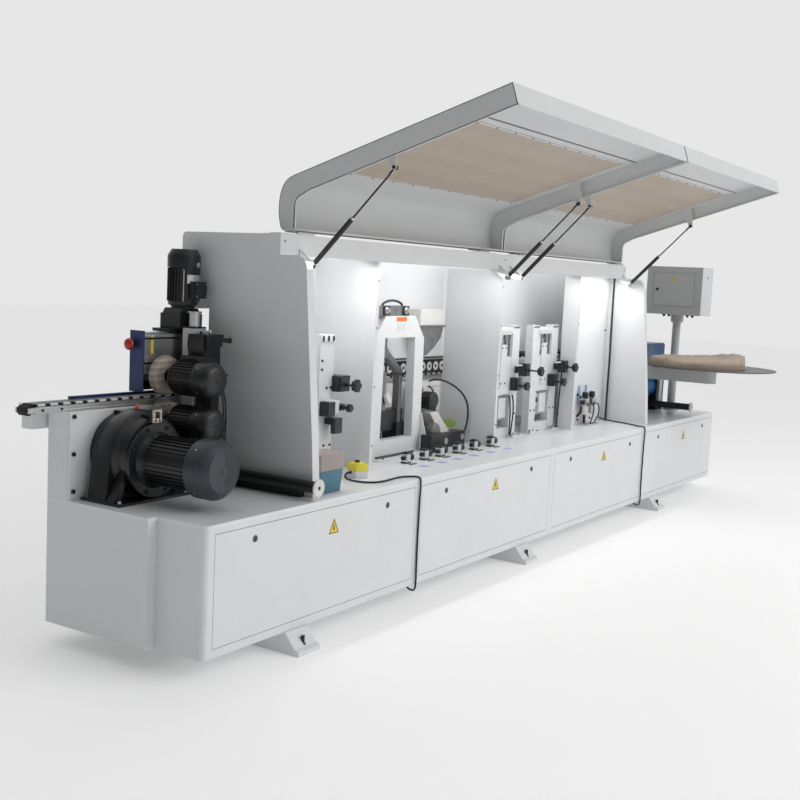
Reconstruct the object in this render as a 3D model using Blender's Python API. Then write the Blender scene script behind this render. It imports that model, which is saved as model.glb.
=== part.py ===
"""Edge banding machine: a long cabinet base, a panel conveyor with its pressure beam,
working units under two lifting hoods, buffing motors at the exit and a tape table at the infeed.

Metres, +Z up.  +X runs from the exit end to the infeed end, -Y is the side with the hoods.
Shapes are laid out from the front lower corner of the cabinet (the layout frame) and are then
moved by LAYOUT_SHIFT, so the origin is the centre of the footprint at floor level.
"""
import math

import bmesh
import bpy
from mathutils import Matrix, Vector

# ------------------------------------------------------------------ driving dimensions
GAP = 0.0003                 # clearance between pieces that touch

BASE_LENGTH = 5.752          # cabinet, exit end to infeed end
CABINET_DEPTH = 0.241        # sheet cabinet in front of the heavy frame
FRAME_OVERHANG = 0.046       # heavy frame stands out past the cabinet at the exit end
BASE_DEPTH = 0.794           # front of the cabinet to the back of the frame
DECK_TOP = 0.500             # working deck above the cabinet bottom
DECK_THICK = 0.016
SHOE_HEIGHT = 0.085          # levelling shoes lift the cabinet off the floor
SHOE_X = (0.535, 2.508, 4.504)
FRAME_WALL = 0.012
SHEET = 0.004
CORNER_RADIUS = 0.025

COLUMN_FRONT = 0.682         # rear column that carries the conveyor
COLUMN_TOP = 0.846
TRACK_LEFT = -0.193
TRACK_RIGHT = 5.690
TRACK_FRONT = 0.690
TRACK_BACK = 0.786
TRACK_TOP = 0.872
PAD_TOP = 0.883
ROLLER_BOTTOM = 0.893        # pressure rollers ride 10 mm above the pads at rest
ROLLER_RADIUS = 0.032
ROLLER_PITCH = 0.069
BEAM_LEFT = 0.352
BEAM_RIGHT = 5.420
BEAM_TOP = 1.145
GUIDE_POST_X = (0.540, 4.600)    # posts on the deck that guide the beam up and down

DOOR_SPANS = ((0.052, 1.400), (1.463, 2.832), (2.892, 4.243), (4.300, 5.715))
DOOR_BOTTOM = 0.035
DOOR_TOP = 0.462
DOOR_DEPTH = 0.018
DOOR_GAP = 0.0025

SHIELD_LEFT_X = 0.702
SHIELD_RIGHT_X = 4.450
SHIELD_FLANGE = 0.046
SHIELD_SHEET = 0.003
SHIELD_TOP = 1.576
SHIELD_BACK = 0.832
HEADER_FRONT = 0.280
HEADER_BACK = 0.370
HEADER_BOTTOM = 1.491
HEADER_TOP = 1.578
DIVIDER_X = (1.421, 2.660, 3.714)
LINER_BOTTOM = 0.985            # white sheet that hides the beam above its rollers

HINGE_Y = 0.280              # both hoods turn about one line along the header
HINGE_Z = 1.582
HOOD_SPANS = ((0.807, 2.676), (2.684, 4.420))
HOOD_SKIN = 0.003
HOOD_DEPTH = 0.085
HOOD_SLOPE = math.radians(18.0)
STRUT_FOOT = (0.220, 1.452)  # lower pivots of the gas struts (Y, Z)
STRUT_HEAD = (-0.177, 1.854)
STRUT_X = (0.845, 2.600, 2.760, 4.385)
STRUT_BRACKETS = tuple(x + d for x, d in zip(STRUT_X, (-0.0125, 0.0085, -0.0125, 0.0085)))
STRUT_TUBE_RADIUS = 0.011
STRUT_ROD_RADIUS = 0.004
STRUT_TUBE_LENGTH = 0.285

ESTOP_POINT = (0.752, 1.094)
BUFF_X = 0.430
BUFF_WHEEL_Y = 0.650
BUFF_WHEEL_RADIUS = 0.084
BUFF_UPPER_Z = 0.970
BUFF_LOWER_Z = 0.785
GEAR_X = 0.205
GEAR_Z = 0.680
LIFT_X = 0.618
LIFT_Y = 0.738

RAIL_SPAN = (-0.115, 5.600)  # panel support rail behind the conveyor
RAIL_FRONT = 0.806
RAIL_BACK = 0.866
OUTRIGGER_X = (0.660, 5.400)
OUTRIGGER_Z = 0.555
OUTRIGGER_RADIUS = 0.025
OUTRIGGER_FRONT = (-0.003, 0.060)    # front faces of the two end discs

CONTROL_X = (5.500, 5.752)
CONTROL_Y = (0.083, 0.519)
CONTROL_Z = (1.245, 1.612)
CONTROL_POST = (5.620, 0.300)
BOX_CORNER = (1.194, 0.195)      # push-button box: its near corner, size and turn on the deck
BOX_SIZE = (0.072, 0.080)
BOX_TURN = -18.7
TAPE_CENTRE = (5.150, -0.150)
TAPE_RADIUS = 0.450
TAPE_Z = 0.880

ENVELOPE_X = (-0.2345, 5.752)
ENVELOPE_Y = (-0.7284, 0.866)
LAYOUT_SHIFT = Vector((-0.5 * sum(ENVELOPE_X), -0.5 * sum(ENVELOPE_Y), SHOE_HEIGHT))

PAINT_LIGHT = ("paint_light", (0.78, 0.79, 0.80), 0.42, 0.0)
PAINT_GREY = ("paint_grey", (0.36, 0.37, 0.37), 0.45, 0.0)
PAINT_BLUE = ("paint_blue", (0.02, 0.06, 0.16), 0.40, 0.0)
BLACK = ("machine_black", (0.012, 0.013, 0.015), 0.50, 0.0)
STEEL = ("steel", (0.55, 0.56, 0.57), 0.30, 1.0)
ALUMINIUM = ("aluminium", (0.62, 0.63, 0.64), 0.38, 1.0)
RUBBER = ("rubber", (0.02, 0.02, 0.02), 0.85, 0.0)
COTTON = ("cotton", (0.58, 0.51, 0.44), 0.95, 0.0)
FILM = ("brown_film", (0.42, 0.34, 0.27), 0.55, 0.0)
RED = ("red_plastic", (0.60, 0.03, 0.02), 0.35, 0.0)
YELLOW = ("yellow_plastic", (0.80, 0.66, 0.08), 0.45, 0.0)
TEAL = ("teal_plastic", (0.10, 0.24, 0.30), 0.45, 0.0)
DISC_GREY = ("disc_grey", (0.20, 0.21, 0.22), 0.45, 0.0)


# ------------------------------------------------------------------ helpers
def clear_scene():
    for old in list(bpy.data.objects):
        bpy.data.objects.remove(old, do_unlink=True)


def material(spec):
    name, colour, roughness, metallic = spec
    made = bpy.data.materials.get(name)
    if made is None:
        made = bpy.data.materials.new(name)
        made.use_nodes = True
        shader = made.node_tree.nodes["Principled BSDF"]
        shader.inputs["Base Color"].default_value = (*colour, 1.0)
        shader.inputs["Roughness"].default_value = roughness
        shader.inputs["Metallic"].default_value = metallic
    return made


def place(name, bm, origin, paint, smooth=False):
    """Turn a bmesh in layout coordinates into an object whose origin is at `origin`."""
    origin = Vector(origin)
    bmesh.ops.remove_doubles(bm, verts=bm.verts, dist=0.00001)
    bmesh.ops.recalc_face_normals(bm, faces=bm.faces)
    bmesh.ops.translate(bm, verts=bm.verts, vec=-origin)
    mesh = bpy.data.meshes.new(name)
    bm.to_mesh(mesh)
    bm.free()
    if paint is not None:
        mesh.materials.append(material(paint))
    if smooth:
        mesh.shade_smooth()
        mesh.set_sharp_from_angle(angle=math.radians(35.0))
    made = bpy.data.objects.new(name, mesh)
    bpy.context.scene.collection.objects.link(made)
    made.location = origin + LAYOUT_SHIFT
    return made


def add_box(bm, x, y, z):
    """A box between two values on each axis."""
    size = Vector((x[1] - x[0], y[1] - y[0], z[1] - z[0]))
    centre = Vector((x[0] + x[1], y[0] + y[1], z[0] + z[1])) * 0.5
    matrix = Matrix.Translation(centre) @ Matrix.Diagonal((*size, 1.0))
    return bmesh.ops.create_cube(bm, size=1.0, matrix=matrix)["verts"]


def add_prism(bm, outline, axis, span):
    """Extrude an outline along an axis; outline points are the other two axes in order."""
    def corner(point, along):
        first, second = point
        if axis == "X":
            return Vector((along, first, second))
        if axis == "Y":
            return Vector((first, along, second))
        return Vector((first, second, along))
    ring = [bm.verts.new(corner(point, span[0])) for point in outline]
    face = bm.faces.new(ring)
    grown = bmesh.ops.extrude_face_region(bm, geom=[face])
    moved = [item for item in grown["geom"] if isinstance(item, bmesh.types.BMVert)]
    shift = corner((0.0, 0.0), span[1] - span[0])
    bmesh.ops.translate(bm, verts=moved, vec=shift)
    return ring + moved


def add_round(bm, start, end, radius, sides, end_radius=None):
    """A cylinder or a cone between two points."""
    start = Vector(start)
    end = Vector(end)
    along = end - start
    turn = along.to_track_quat("Z", "Y").to_matrix().to_4x4()
    matrix = Matrix.Translation((start + end) * 0.5) @ turn
    tip = radius if end_radius is None else end_radius
    return bmesh.ops.create_cone(bm, cap_ends=True, segments=sides, radius1=radius,
                                 radius2=tip, depth=along.length, matrix=matrix)["verts"]


def add_turned(bm, start, direction, profile, sides):
    """Spin a profile of (distance along, radius) about an axis; ends may lie on the axis."""
    direction = Vector(direction).normalized()
    side = direction.orthogonal().normalized()
    start = Vector(start)
    verts = [bm.verts.new(start + direction * along + side * radius) for along, radius in profile]
    edges = [bm.edges.new((verts[i], verts[i + 1])) for i in range(len(verts) - 1)]
    if profile[0][1] > 0.0:
        edges.append(bm.edges.new((verts[-1], verts[0])))
    bmesh.ops.spin(bm, geom=verts + edges, cent=start, axis=direction,
                   angle=2.0 * math.pi, steps=sides, use_merge=True, use_duplicate=False)
    bmesh.ops.remove_doubles(bm, verts=bm.verts, dist=0.00001)


def helper(owner, tag, fill):
    """A hidden object, built by fill(bm), that a Boolean on `owner` uses."""
    bm = bmesh.new()
    fill(bm)
    made = place(owner.name + tag, bm, owner.location - LAYOUT_SHIFT, None)
    made.hide_render = True
    made.display_type = "WIRE"
    return made


def combine(owner, tag, operation, fill):
    tool = helper(owner, tag, fill)
    step = owner.modifiers.new(tag.strip("_"), "BOOLEAN")
    step.operation = operation
    step.solver = "EXACT"
    step.object = tool


def cut(owner, tag, fill):
    combine(owner, tag, "DIFFERENCE", fill)


def unite(owner, tag, fill):
    combine(owner, tag, "UNION", fill)


def soften(owner, width, segments=2, angle=40.0):
    """Rounded edges on a plain piece."""
    step = owner.modifiers.new("edge", "BEVEL")
    step.width = width
    step.segments = segments
    step.limit_method = "ANGLE"
    step.angle_limit = math.radians(angle)


def plain_box(name, x, y, z, paint, origin=None):
    bm = bmesh.new()
    add_box(bm, x, y, z)
    if origin is None:
        origin = (sum(x) * 0.5, sum(y) * 0.5, z[0])
    return place(name, bm, origin, paint)


# ------------------------------------------------------------------ base
def make_base_frame():
    """Welded plate frame with six levelling shoes under it."""
    back = BASE_DEPTH
    bottom = DECK_TOP - DECK_THICK - GAP
    frame = plain_box("base_frame", (-FRAME_OVERHANG, BASE_LENGTH), (CABINET_DEPTH + GAP, back),
                      (0.0, bottom), PAINT_LIGHT)
    inner_x = (-FRAME_OVERHANG + FRAME_WALL, BASE_LENGTH - FRAME_WALL)
    inner_y = (CABINET_DEPTH + GAP + FRAME_WALL, back - FRAME_WALL)
    cut(frame, "_hollow", lambda bm: add_box(bm, inner_x, inner_y, (-0.1, 0.6)))
    for number, centre in enumerate(SHOE_X, start=1):
        outline = ((-0.080, -SHOE_HEIGHT), (0.252, -SHOE_HEIGHT), (0.252, 0.012), (0.245, 0.012),
                   (0.245, -GAP), (-0.012, -GAP), (-0.060, -0.058), (-0.080, -0.066))
        span = (centre - 0.070, centre + 0.070)
        unite(frame, f"_shoe_front_{number}",
              lambda bm, o=outline, s=span: add_prism(bm, o, "X", s))
        rear = ((0.700, -SHOE_HEIGHT), (0.860, -SHOE_HEIGHT), (0.860, -0.066), (0.842, -0.058),
                (0.7945, 0.000), (0.790, 0.012), (0.784, 0.012), (0.700, 0.000))
        unite(frame, f"_shoe_rear_{number}",
              lambda bm, o=rear, s=span: add_prism(bm, o, "X", s))
    return frame


def rounded_front():
    """Front edge of deck and cabinet in plan, with its two rounded corners."""
    radius = CORNER_RADIUS
    corner = [(radius - radius * math.cos(a), radius - radius * math.sin(a))
              for a in (math.radians(15.0 * i) for i in range(7))]
    right = [(BASE_LENGTH - x, y) for x, y in reversed(corner)]
    return corner + right


def make_cabinet_shell():
    """Sheet cabinet in front of the frame: four bays, each with a door opening."""
    top = DECK_TOP - DECK_THICK - GAP
    bm = bmesh.new()
    outline = rounded_front() + [(BASE_LENGTH, CABINET_DEPTH), (0.0, CABINET_DEPTH)]
    add_prism(bm, outline, "Z", (0.0, top))
    shell = place("cabinet_shell", bm, (0.0, 0.0, 0.0), PAINT_LIGHT)
    walls = (0.006,) + tuple(0.5 * (DOOR_SPANS[i][1] + DOOR_SPANS[i + 1][0]) for i in range(3))
    walls += (BASE_LENGTH - 0.006,)
    for number, (left, right) in enumerate(DOOR_SPANS, start=1):
        bay_left = walls[number - 1] + (0.004 if number > 1 else 0.0)
        bay_right = walls[number] - (0.004 if number < 4 else 0.0)
        bay = (bay_left, bay_right)
        opening = (left - DOOR_GAP, right + DOOR_GAP)
        cut(shell, f"_bay_{number}",
            lambda bm, s=bay: add_box(bm, s, (0.022, 0.300), (0.006, 0.600)))
        cut(shell, f"_opening_{number}",
            lambda bm, s=opening: add_box(bm, s, (-0.05, 0.05),
                                          (DOOR_BOTTOM - DOOR_GAP, DOOR_TOP + DOOR_GAP)))
    return shell


def make_deck_plate():
    """Top plate; its exit end steps in where the sheet cabinet starts."""
    outline = rounded_front() + [(BASE_LENGTH, BASE_DEPTH), (-FRAME_OVERHANG, BASE_DEPTH),
                                 (-FRAME_OVERHANG, CABINET_DEPTH), (0.0, CABINET_DEPTH)]
    bm = bmesh.new()
    add_prism(bm, outline, "Z", (DECK_TOP - DECK_THICK, DECK_TOP))
    return place("deck_plate", bm, (BASE_LENGTH * 0.5, 0.3, DECK_TOP - DECK_THICK), PAINT_LIGHT)


def make_door(number, span):
    """Drop-down cabinet door, a folded sheet tray hinged along its lower edge."""
    hinge = (0.5 * sum(span), 0.0, DOOR_BOTTOM)
    bm = bmesh.new()
    add_box(bm, span, (0.0, DOOR_DEPTH), (DOOR_BOTTOM, DOOR_TOP))
    door = place(f"cabinet_door_{number}", bm, hinge, PAINT_LIGHT)
    inner = (span[0] + 0.0025, span[1] - 0.0025)
    cut(door, "_tray", lambda bm: add_box(bm, inner, (0.0025, 0.1),
                                          (DOOR_BOTTOM + 0.0025, DOOR_TOP - 0.0025)))
    return door


def make_rear_column():
    """Upright channel along the back of the deck that carries the conveyor."""
    span = (-FRAME_OVERHANG, BASE_LENGTH - 0.040)
    column = plain_box("rear_column", span, (COLUMN_FRONT, BASE_DEPTH),
                       (DECK_TOP + GAP, COLUMN_TOP), PAINT_LIGHT)
    hollow = (span[0] + 0.010, span[1] - 0.010)
    cut(column, "_hollow", lambda bm: add_box(bm, hollow, (COLUMN_FRONT + 0.010, BASE_DEPTH - 0.010),
                                              (0.4, COLUMN_TOP - 0.012)))
    plate = ((-0.044, DECK_TOP + GAP), (0.470, DECK_TOP + GAP), (0.470, 0.818), (0.445, 0.842),
             (-0.044, 0.842))
    unite(column, "_drive_plate", lambda bm: add_prism(bm, plate, "Y", (COLUMN_FRONT - 0.0117,
                                                                        COLUMN_FRONT + 0.002)))
    for number, left in enumerate(GUIDE_POST_X, start=1):
        unite(column, f"_post_{number}",
              lambda bm, x=left: add_box(bm, (x, x + 0.075), (0.596, 0.660), (DECK_TOP + GAP, 1.165)))
        unite(column, f"_post_rib_{number}",
              lambda bm, x=left: add_box(bm, (x + 0.030, x + 0.045), (0.655, COLUMN_FRONT + 0.002),
                                         (DECK_TOP + GAP, 0.800)))
    for number, along in enumerate(OUTRIGGER_X, start=1):
        cut(column, f"_bush_{number}",
            lambda bm, x=along: add_round(bm, (x, 0.6, OUTRIGGER_Z), (x, 0.9, OUTRIGGER_Z),
                                          OUTRIGGER_RADIUS + 0.001, 32))
    return column


# ------------------------------------------------------------------ conveyor
def make_conveyor_track():
    """Guide rail with a channel for the chain, overhanging the column at the exit end."""
    outline = ((TRACK_FRONT, COLUMN_TOP + GAP), (TRACK_BACK, COLUMN_TOP + GAP),
               (TRACK_BACK, PAD_TOP - 0.002), (TRACK_BACK - 0.018, PAD_TOP - 0.002),
               (TRACK_BACK - 0.018, TRACK_TOP), (TRACK_FRONT, TRACK_TOP))
    bm = bmesh.new()
    add_prism(bm, outline, "X", (TRACK_LEFT, TRACK_RIGHT))
    track = place("conveyor_track", bm, (TRACK_LEFT, TRACK_FRONT, COLUMN_TOP), ALUMINIUM)
    for number, front in enumerate((TRACK_FRONT, TRACK_FRONT + 0.068), start=1):
        unite(track, f"_cheek_{number}",
              lambda bm, y=front: add_box(bm, (TRACK_LEFT - 0.032, TRACK_LEFT + 0.030), (y, y + 0.008),
                                          (COLUMN_TOP + 0.004, TRACK_TOP - 0.002)))
    return track


def make_chain_pads():
    """Upper run of the conveyor chain with its rubber pads."""
    pitch = 0.060
    low = TRACK_TOP + GAP
    mid = PAD_TOP - 0.005
    left = TRACK_LEFT + 0.006
    outline = [(left, low)]
    count = int((TRACK_RIGHT - left - 0.02) / pitch)
    top = []
    for i in range(count):
        start = left + i * pitch
        top += [(start, mid), (start + 0.006, PAD_TOP), (start + pitch - 0.006, PAD_TOP)]
    end = left + count * pitch
    top.append((end, mid))
    outline = [(left, low)] + top + [(end, low)]
    bm = bmesh.new()
    add_prism(bm, outline, "Y", (TRACK_FRONT + 0.006, TRACK_BACK - 0.022))
    return place("chain_pads", bm, (left, TRACK_FRONT, low), RUBBER)


def make_conveyor_roller():
    """Return roller that the chain turns round at the exit tip."""
    centre = (TRACK_LEFT - 0.0215, TRACK_FRONT + 0.011, COLUMN_TOP + 0.014)
    profile = ((0.0, 0.0), (0.0, 0.018), (0.004, 0.020), (0.042, 0.020), (0.046, 0.018), (0.046, 0.0))
    bm = bmesh.new()
    add_turned(bm, centre, (0.0, 1.0, 0.0), profile, 28)
    return place("conveyor_roller", bm, centre, RUBBER, smooth=True)


def make_pressure_beam():
    """Aluminium extrusion with a deeper sheet end cap at the exit end."""
    outline = ((0.690, 0.975), (0.768, 0.975), (0.768, 1.060), (0.768, BEAM_TOP - 0.012),
               (0.756, BEAM_TOP), (0.702, BEAM_TOP), (0.690, BEAM_TOP - 0.012))
    bm = bmesh.new()
    add_prism(bm, outline, "X", (BEAM_LEFT, BEAM_RIGHT))
    beam = place("pressure_beam", bm, (BEAM_LEFT, 0.729, 0.975), ALUMINIUM)
    hollow = ((0.702, 1.000), (0.756, 1.000), (0.756, BEAM_TOP - 0.020), (0.702, BEAM_TOP - 0.020))
    cut(beam, "_bore", lambda bm: add_prism(bm, hollow, "X", (BEAM_LEFT + 0.01, BEAM_RIGHT + 0.1)))
    for number, left in enumerate(GUIDE_POST_X, start=1):
        unite(beam, f"_slide_{number}",
              lambda bm, x=left: add_box(bm, (x, x + 0.075), (0.6605, 0.692), (0.990, 1.140)))
    cap = ((0.690, 0.898), (0.767, 0.898), (0.770, 0.901), (0.770, 1.149), (0.767, 1.152),
           (0.690, 1.152))
    unite(beam, "_end_cap", lambda bm: add_prism(bm, cap, "X", (BEAM_LEFT - 0.006, BEAM_LEFT + 0.002)))
    y, z = ESTOP_POINT
    cut(beam, "_estop_hole", lambda bm: add_round(bm, (BEAM_LEFT - 0.020, y, z),
                                                  (BEAM_LEFT + 0.0085, y, z), 0.0110, 20))
    return beam


def make_roller_carrier():
    """Black carrier with the row of rubber-tyred pressure rollers under the beam."""
    span = (BEAM_LEFT + 0.068, BEAM_RIGHT - 0.060)
    centre_z = ROLLER_BOTTOM + ROLLER_RADIUS
    count = int((span[1] - span[0]) / ROLLER_PITCH)
    outline = [(span[0], 0.975 - GAP), (span[0], centre_z - 0.006)]
    for i in range(count):
        middle = span[0] + 0.036 + i * ROLLER_PITCH
        for step in range(5):
            angle = math.radians(-90.0 + (step - 2) * 39.0)
            outline.append((middle + ROLLER_RADIUS * math.cos(angle),
                            centre_z + ROLLER_RADIUS * math.sin(angle)))
    outline += [(span[1], centre_z - 0.006), (span[1], 0.975 - GAP)]
    bm = bmesh.new()
    add_prism(bm, outline, "Y", (0.672, 0.768))
    return place("roller_carrier", bm, (span[0], 0.720, 0.975 - GAP), BLACK)


def make_lift_motor():
    """Vertical motor and worm gearbox that raise and lower the pressure beam."""
    low = BEAM_TOP + GAP
    bm = bmesh.new()
    add_box(bm, (LIFT_X - 0.125, LIFT_X + 0.060), (0.694, 0.768), (low, low + 0.014))
    lift = place("lift_motor", bm, (LIFT_X, LIFT_Y, low), BLACK, smooth=True)
    unite(lift, "_gearbox", lambda bm: add_box(bm, (LIFT_X - 0.084, LIFT_X + 0.050),
                                               (0.664, 0.788), (low + 0.010, low + 0.100)))
    profile = ((0.0, 0.0), (0.0, 0.052), (0.018, 0.052), (0.030, 0.067), (0.150, 0.071),
               (0.232, 0.071), (0.256, 0.056), (0.256, 0.0))
    unite(lift, "_motor", lambda bm: add_turned(bm, (LIFT_X, LIFT_Y, low + 0.095),
                                                (0.0, 0.0, 1.0), profile, 32))
    unite(lift, "_terminal_box", lambda bm: add_box(bm, (LIFT_X - 0.030, LIFT_X + 0.045),
                                                    (0.640, 0.700), (low + 0.142, low + 0.217)))
    return lift


def make_estop_button():
    """Red mushroom head on the end cap, pressed along +X."""
    start = (BEAM_LEFT - 0.002, *ESTOP_POINT)
    profile = ((0.0, 0.0), (0.0, 0.0095), (0.020, 0.0095), (0.020, 0.025), (0.030, 0.025),
               (0.037, 0.016), (0.040, 0.0))
    bm = bmesh.new()
    add_turned(bm, start, (-1.0, 0.0, 0.0), profile, 28)
    return place("estop_button", bm, start, RED, smooth=True)


# ------------------------------------------------------------------ exit end
def make_gear_reducer():
    """Round gearbox on a foot, bolted to a plate on the column."""
    rear = COLUMN_FRONT - GAP
    bm = bmesh.new()
    profile = ((0.0, 0.0), (0.0, 0.150), (0.044, 0.150), (0.052, 0.172), (0.130, 0.172), (0.150, 0.150),
               (0.180, 0.150), (0.184, 0.145), (0.196, 0.145), (0.196, 0.0))
    add_turned(bm, (GEAR_X, rear - 0.012, GEAR_Z), (0.0, -1.0, 0.0), profile, 48)
    reducer = place("gear_reducer", bm, (GEAR_X, rear, GEAR_Z), BLACK, smooth=True)
    unite(reducer, "_foot", lambda bm: add_box(bm, (0.005, 0.395), (0.448, 0.664),
                                               (DECK_TOP + GAP, 0.5115)))
    return reducer


def make_gear_motor():
    """Flanged motor with cooling fins and a fan cover."""
    start = (GEAR_X, COLUMN_FRONT - 0.2086 - GAP, GEAR_Z - 0.018)
    profile = ((0.0, 0.0), (0.0, 0.149), (0.016, 0.149), (0.024, 0.103), (0.262, 0.103),
               (0.268, 0.116), (0.342, 0.116), (0.370, 0.092), (0.370, 0.0))
    bm = bmesh.new()
    add_turned(bm, start, (0.0, -1.0, 0.0), profile, 44)
    return place("gear_motor", bm, start, BLACK, smooth=True)


def buff_motor(name, height, bracket):
    """Motor that drives one buffing wheel, with the arm that holds it."""
    shaft_end = BUFF_WHEEL_Y - 0.0215
    bm = bmesh.new()
    profile = ((0.0, 0.0), (0.0, 0.036), (0.018, 0.040), (0.026, 0.072), (0.150, 0.076),
               (0.205, 0.076), (0.232, 0.054), (0.232, 0.0))
    start = (BUFF_X, shaft_end - 0.020, height)
    add_turned(bm, start, (0.0, -1.0, 0.0), profile, 32)
    motor = place(name, bm, (BUFF_X, shaft_end, height), BLACK, smooth=True)
    unite(motor, "_arm", bracket)
    return motor


def make_buff_motors():
    """Two motors, one above and one below the panel edge."""
    upper = ((0.512, 1.025), (0.552, 1.025), (0.560, 1.140), (0.500, 1.150), (0.495, 1.100))

    def arm_up(bm):
        add_prism(bm, upper, "Y", (0.470, 0.590))

    made = [buff_motor("buff_motor_upper", BUFF_UPPER_Z, arm_up)]
    top = made[0]
    post = ((0.552, DECK_TOP + GAP), (0.600, DECK_TOP + GAP), (0.600, 1.146), (0.552, 1.146))
    unite(top, "_post", lambda bm: add_prism(bm, post, "Y", (0.500, 0.580)))
    unite(top, "_bridge", lambda bm: add_box(bm, (0.450, 0.590), (0.480, 0.585), (0.995, 1.060)))

    def arm_low(bm):
        add_box(bm, (0.408, 0.440), (0.430, 0.520), (DECK_TOP + GAP, 0.760))

    made.append(buff_motor("buff_motor_lower", BUFF_LOWER_Z, arm_low))
    return made


def make_buff_wheel(name, height):
    """Sewn cotton wheel on the motor shaft."""
    start = (BUFF_X, BUFF_WHEEL_Y - 0.0212, height)
    r = BUFF_WHEEL_RADIUS
    profile = ((0.0, 0.0), (0.0, 0.026), (0.006, 0.026), (0.006, r - 0.010), (0.010, r - 0.002),
               (0.016, r), (0.028, r), (0.034, r - 0.002), (0.038, r - 0.010), (0.038, 0.0))
    bm = bmesh.new()
    add_turned(bm, start, (0.0, 1.0, 0.0), profile, 36)
    return place(name, bm, start, COTTON, smooth=True)


# ------------------------------------------------------------------ enclosure
def shield_outline():
    """Side sheet: sloped front edge, rounded top corner, notches for header and beam."""
    front = [(0.060, DECK_TOP + GAP), (0.077, 0.739), (0.128, 1.310), (0.138, 1.430)]
    curve = []
    for i in range(1, 6):
        angle = math.radians(18.0 * i)
        curve.append((0.190 - 0.052 * math.cos(angle), HEADER_BOTTOM - GAP - 0.052 + 0.052 * math.sin(angle)))
    header = [(HEADER_BACK + GAP, HEADER_BOTTOM - GAP), (HEADER_BACK + GAP, SHIELD_TOP)]
    rear = [(SHIELD_BACK - 0.020, SHIELD_TOP), (SHIELD_BACK - 0.006, SHIELD_TOP - 0.006),
            (SHIELD_BACK, SHIELD_TOP - 0.020), (SHIELD_BACK, 1.360), (0.720, 1.360),
            (0.720, 1.290), (0.664, 1.290), (0.664, DECK_TOP + GAP)]
    return front + curve + header + rear


def make_shield(name, sheet_x, inward):
    """Side shield with a turned front flange."""
    outline = shield_outline()
    far = sheet_x + SHIELD_SHEET * inward
    bm = bmesh.new()
    add_prism(bm, outline, "X", tuple(sorted((sheet_x, far))))
    shield = place(name, bm, (sheet_x, 0.400, DECK_TOP + GAP), PAINT_LIGHT)
    lip = [(0.060, DECK_TOP + GAP), (0.077, 0.739), (0.128, 1.310), (0.138, 1.430)]
    back = [(y + 0.003, z) for y, z in reversed(lip)]
    edge = sheet_x + SHIELD_FLANGE * inward
    unite(shield, "_flange", lambda bm: add_prism(bm, lip + back, "X",
                                                  tuple(sorted((sheet_x, edge)))))
    return shield


def make_divider(number, along):
    """Flanged partition between working units."""
    bm = bmesh.new()
    sheet = (along, along + 0.003)
    flange = (along, along + 0.026)
    back = 0.640
    outline = ((sheet[0], HEADER_FRONT), (flange[1], HEADER_FRONT), (flange[1], HEADER_FRONT + 0.003),
               (sheet[1], HEADER_FRONT + 0.003), (sheet[1], back), (sheet[0], back))
    if number == 3:
        outline = ((sheet[0], HEADER_FRONT), (flange[1], HEADER_FRONT),
                   (flange[1], HEADER_FRONT + 0.003), (sheet[1], HEADER_FRONT + 0.003),
                   (sheet[1], 0.385), (SHIELD_RIGHT_X - GAP, 0.385),
                   (SHIELD_RIGHT_X - GAP, 0.388), (sheet[0], 0.388))
    add_prism(bm, outline, "Z", (DECK_TOP + GAP, HEADER_BOTTOM - GAP))
    return place(f"divider_{number}", bm, (along, HEADER_FRONT, DECK_TOP + GAP), PAINT_LIGHT)


def make_header_beam():
    """Folded beam that carries the hood hinges, with strut brackets under it."""
    span = (SHIELD_LEFT_X, SHIELD_RIGHT_X - GAP)
    header = plain_box("header_beam", span, (HEADER_FRONT, HEADER_BACK),
                       (HEADER_BOTTOM, HEADER_TOP), PAINT_LIGHT)
    cut(header, "_channel", lambda bm: add_box(bm, (span[0] + 0.003, span[1] - 0.003),
                                               (HEADER_FRONT + 0.003, HEADER_BACK + 0.1),
                                               (HEADER_BOTTOM + 0.003, HEADER_TOP - 0.003)))
    foot_y, foot_z = STRUT_FOOT
    inside_y = HEADER_FRONT + 0.002
    inside_z = HEADER_BOTTOM + 0.002
    gusset = ((HEADER_FRONT + 0.050, inside_z), (inside_y, inside_z), (inside_y, HEADER_BOTTOM + 0.030),
              (HEADER_FRONT - 0.001, HEADER_BOTTOM + 0.030), (foot_y - 0.012, foot_z + 0.012),
              (foot_y - 0.014, foot_z - 0.012), (foot_y + 0.012, foot_z - 0.014))
    plates = (STRUT_X[0] - 0.0175, STRUT_X[1] + 0.0135, STRUT_X[2] - 0.0175, STRUT_X[3] + 0.0135)
    for number, left in enumerate(plates, start=1):
        unite(header, f"_gusset_{number}",
              lambda bm, s=(left, left + 0.004): add_prism(bm, gusset, "X", s))
    return header


def make_rear_cover():
    """Roof sheet that turns down behind the pressure beam, with a liner sheet in front of it."""
    under = SHIELD_TOP - 0.014
    outline = ((HEADER_BACK + GAP, under), (0.650, under), (0.650, LINER_BOTTOM),
               (0.654, LINER_BOTTOM), (0.654, under), (0.812, under), (0.812, 1.240),
               (0.816, 1.240), (0.816, SHIELD_TOP - 0.010), (HEADER_BACK + GAP, SHIELD_TOP - 0.010))
    bm = bmesh.new()
    add_prism(bm, outline, "X", (SHIELD_LEFT_X + SHIELD_SHEET + GAP, SHIELD_RIGHT_X - GAP))
    return place("rear_cover", bm, (2.5, 0.6, SHIELD_TOP - 0.014), PAINT_LIGHT)


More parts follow.
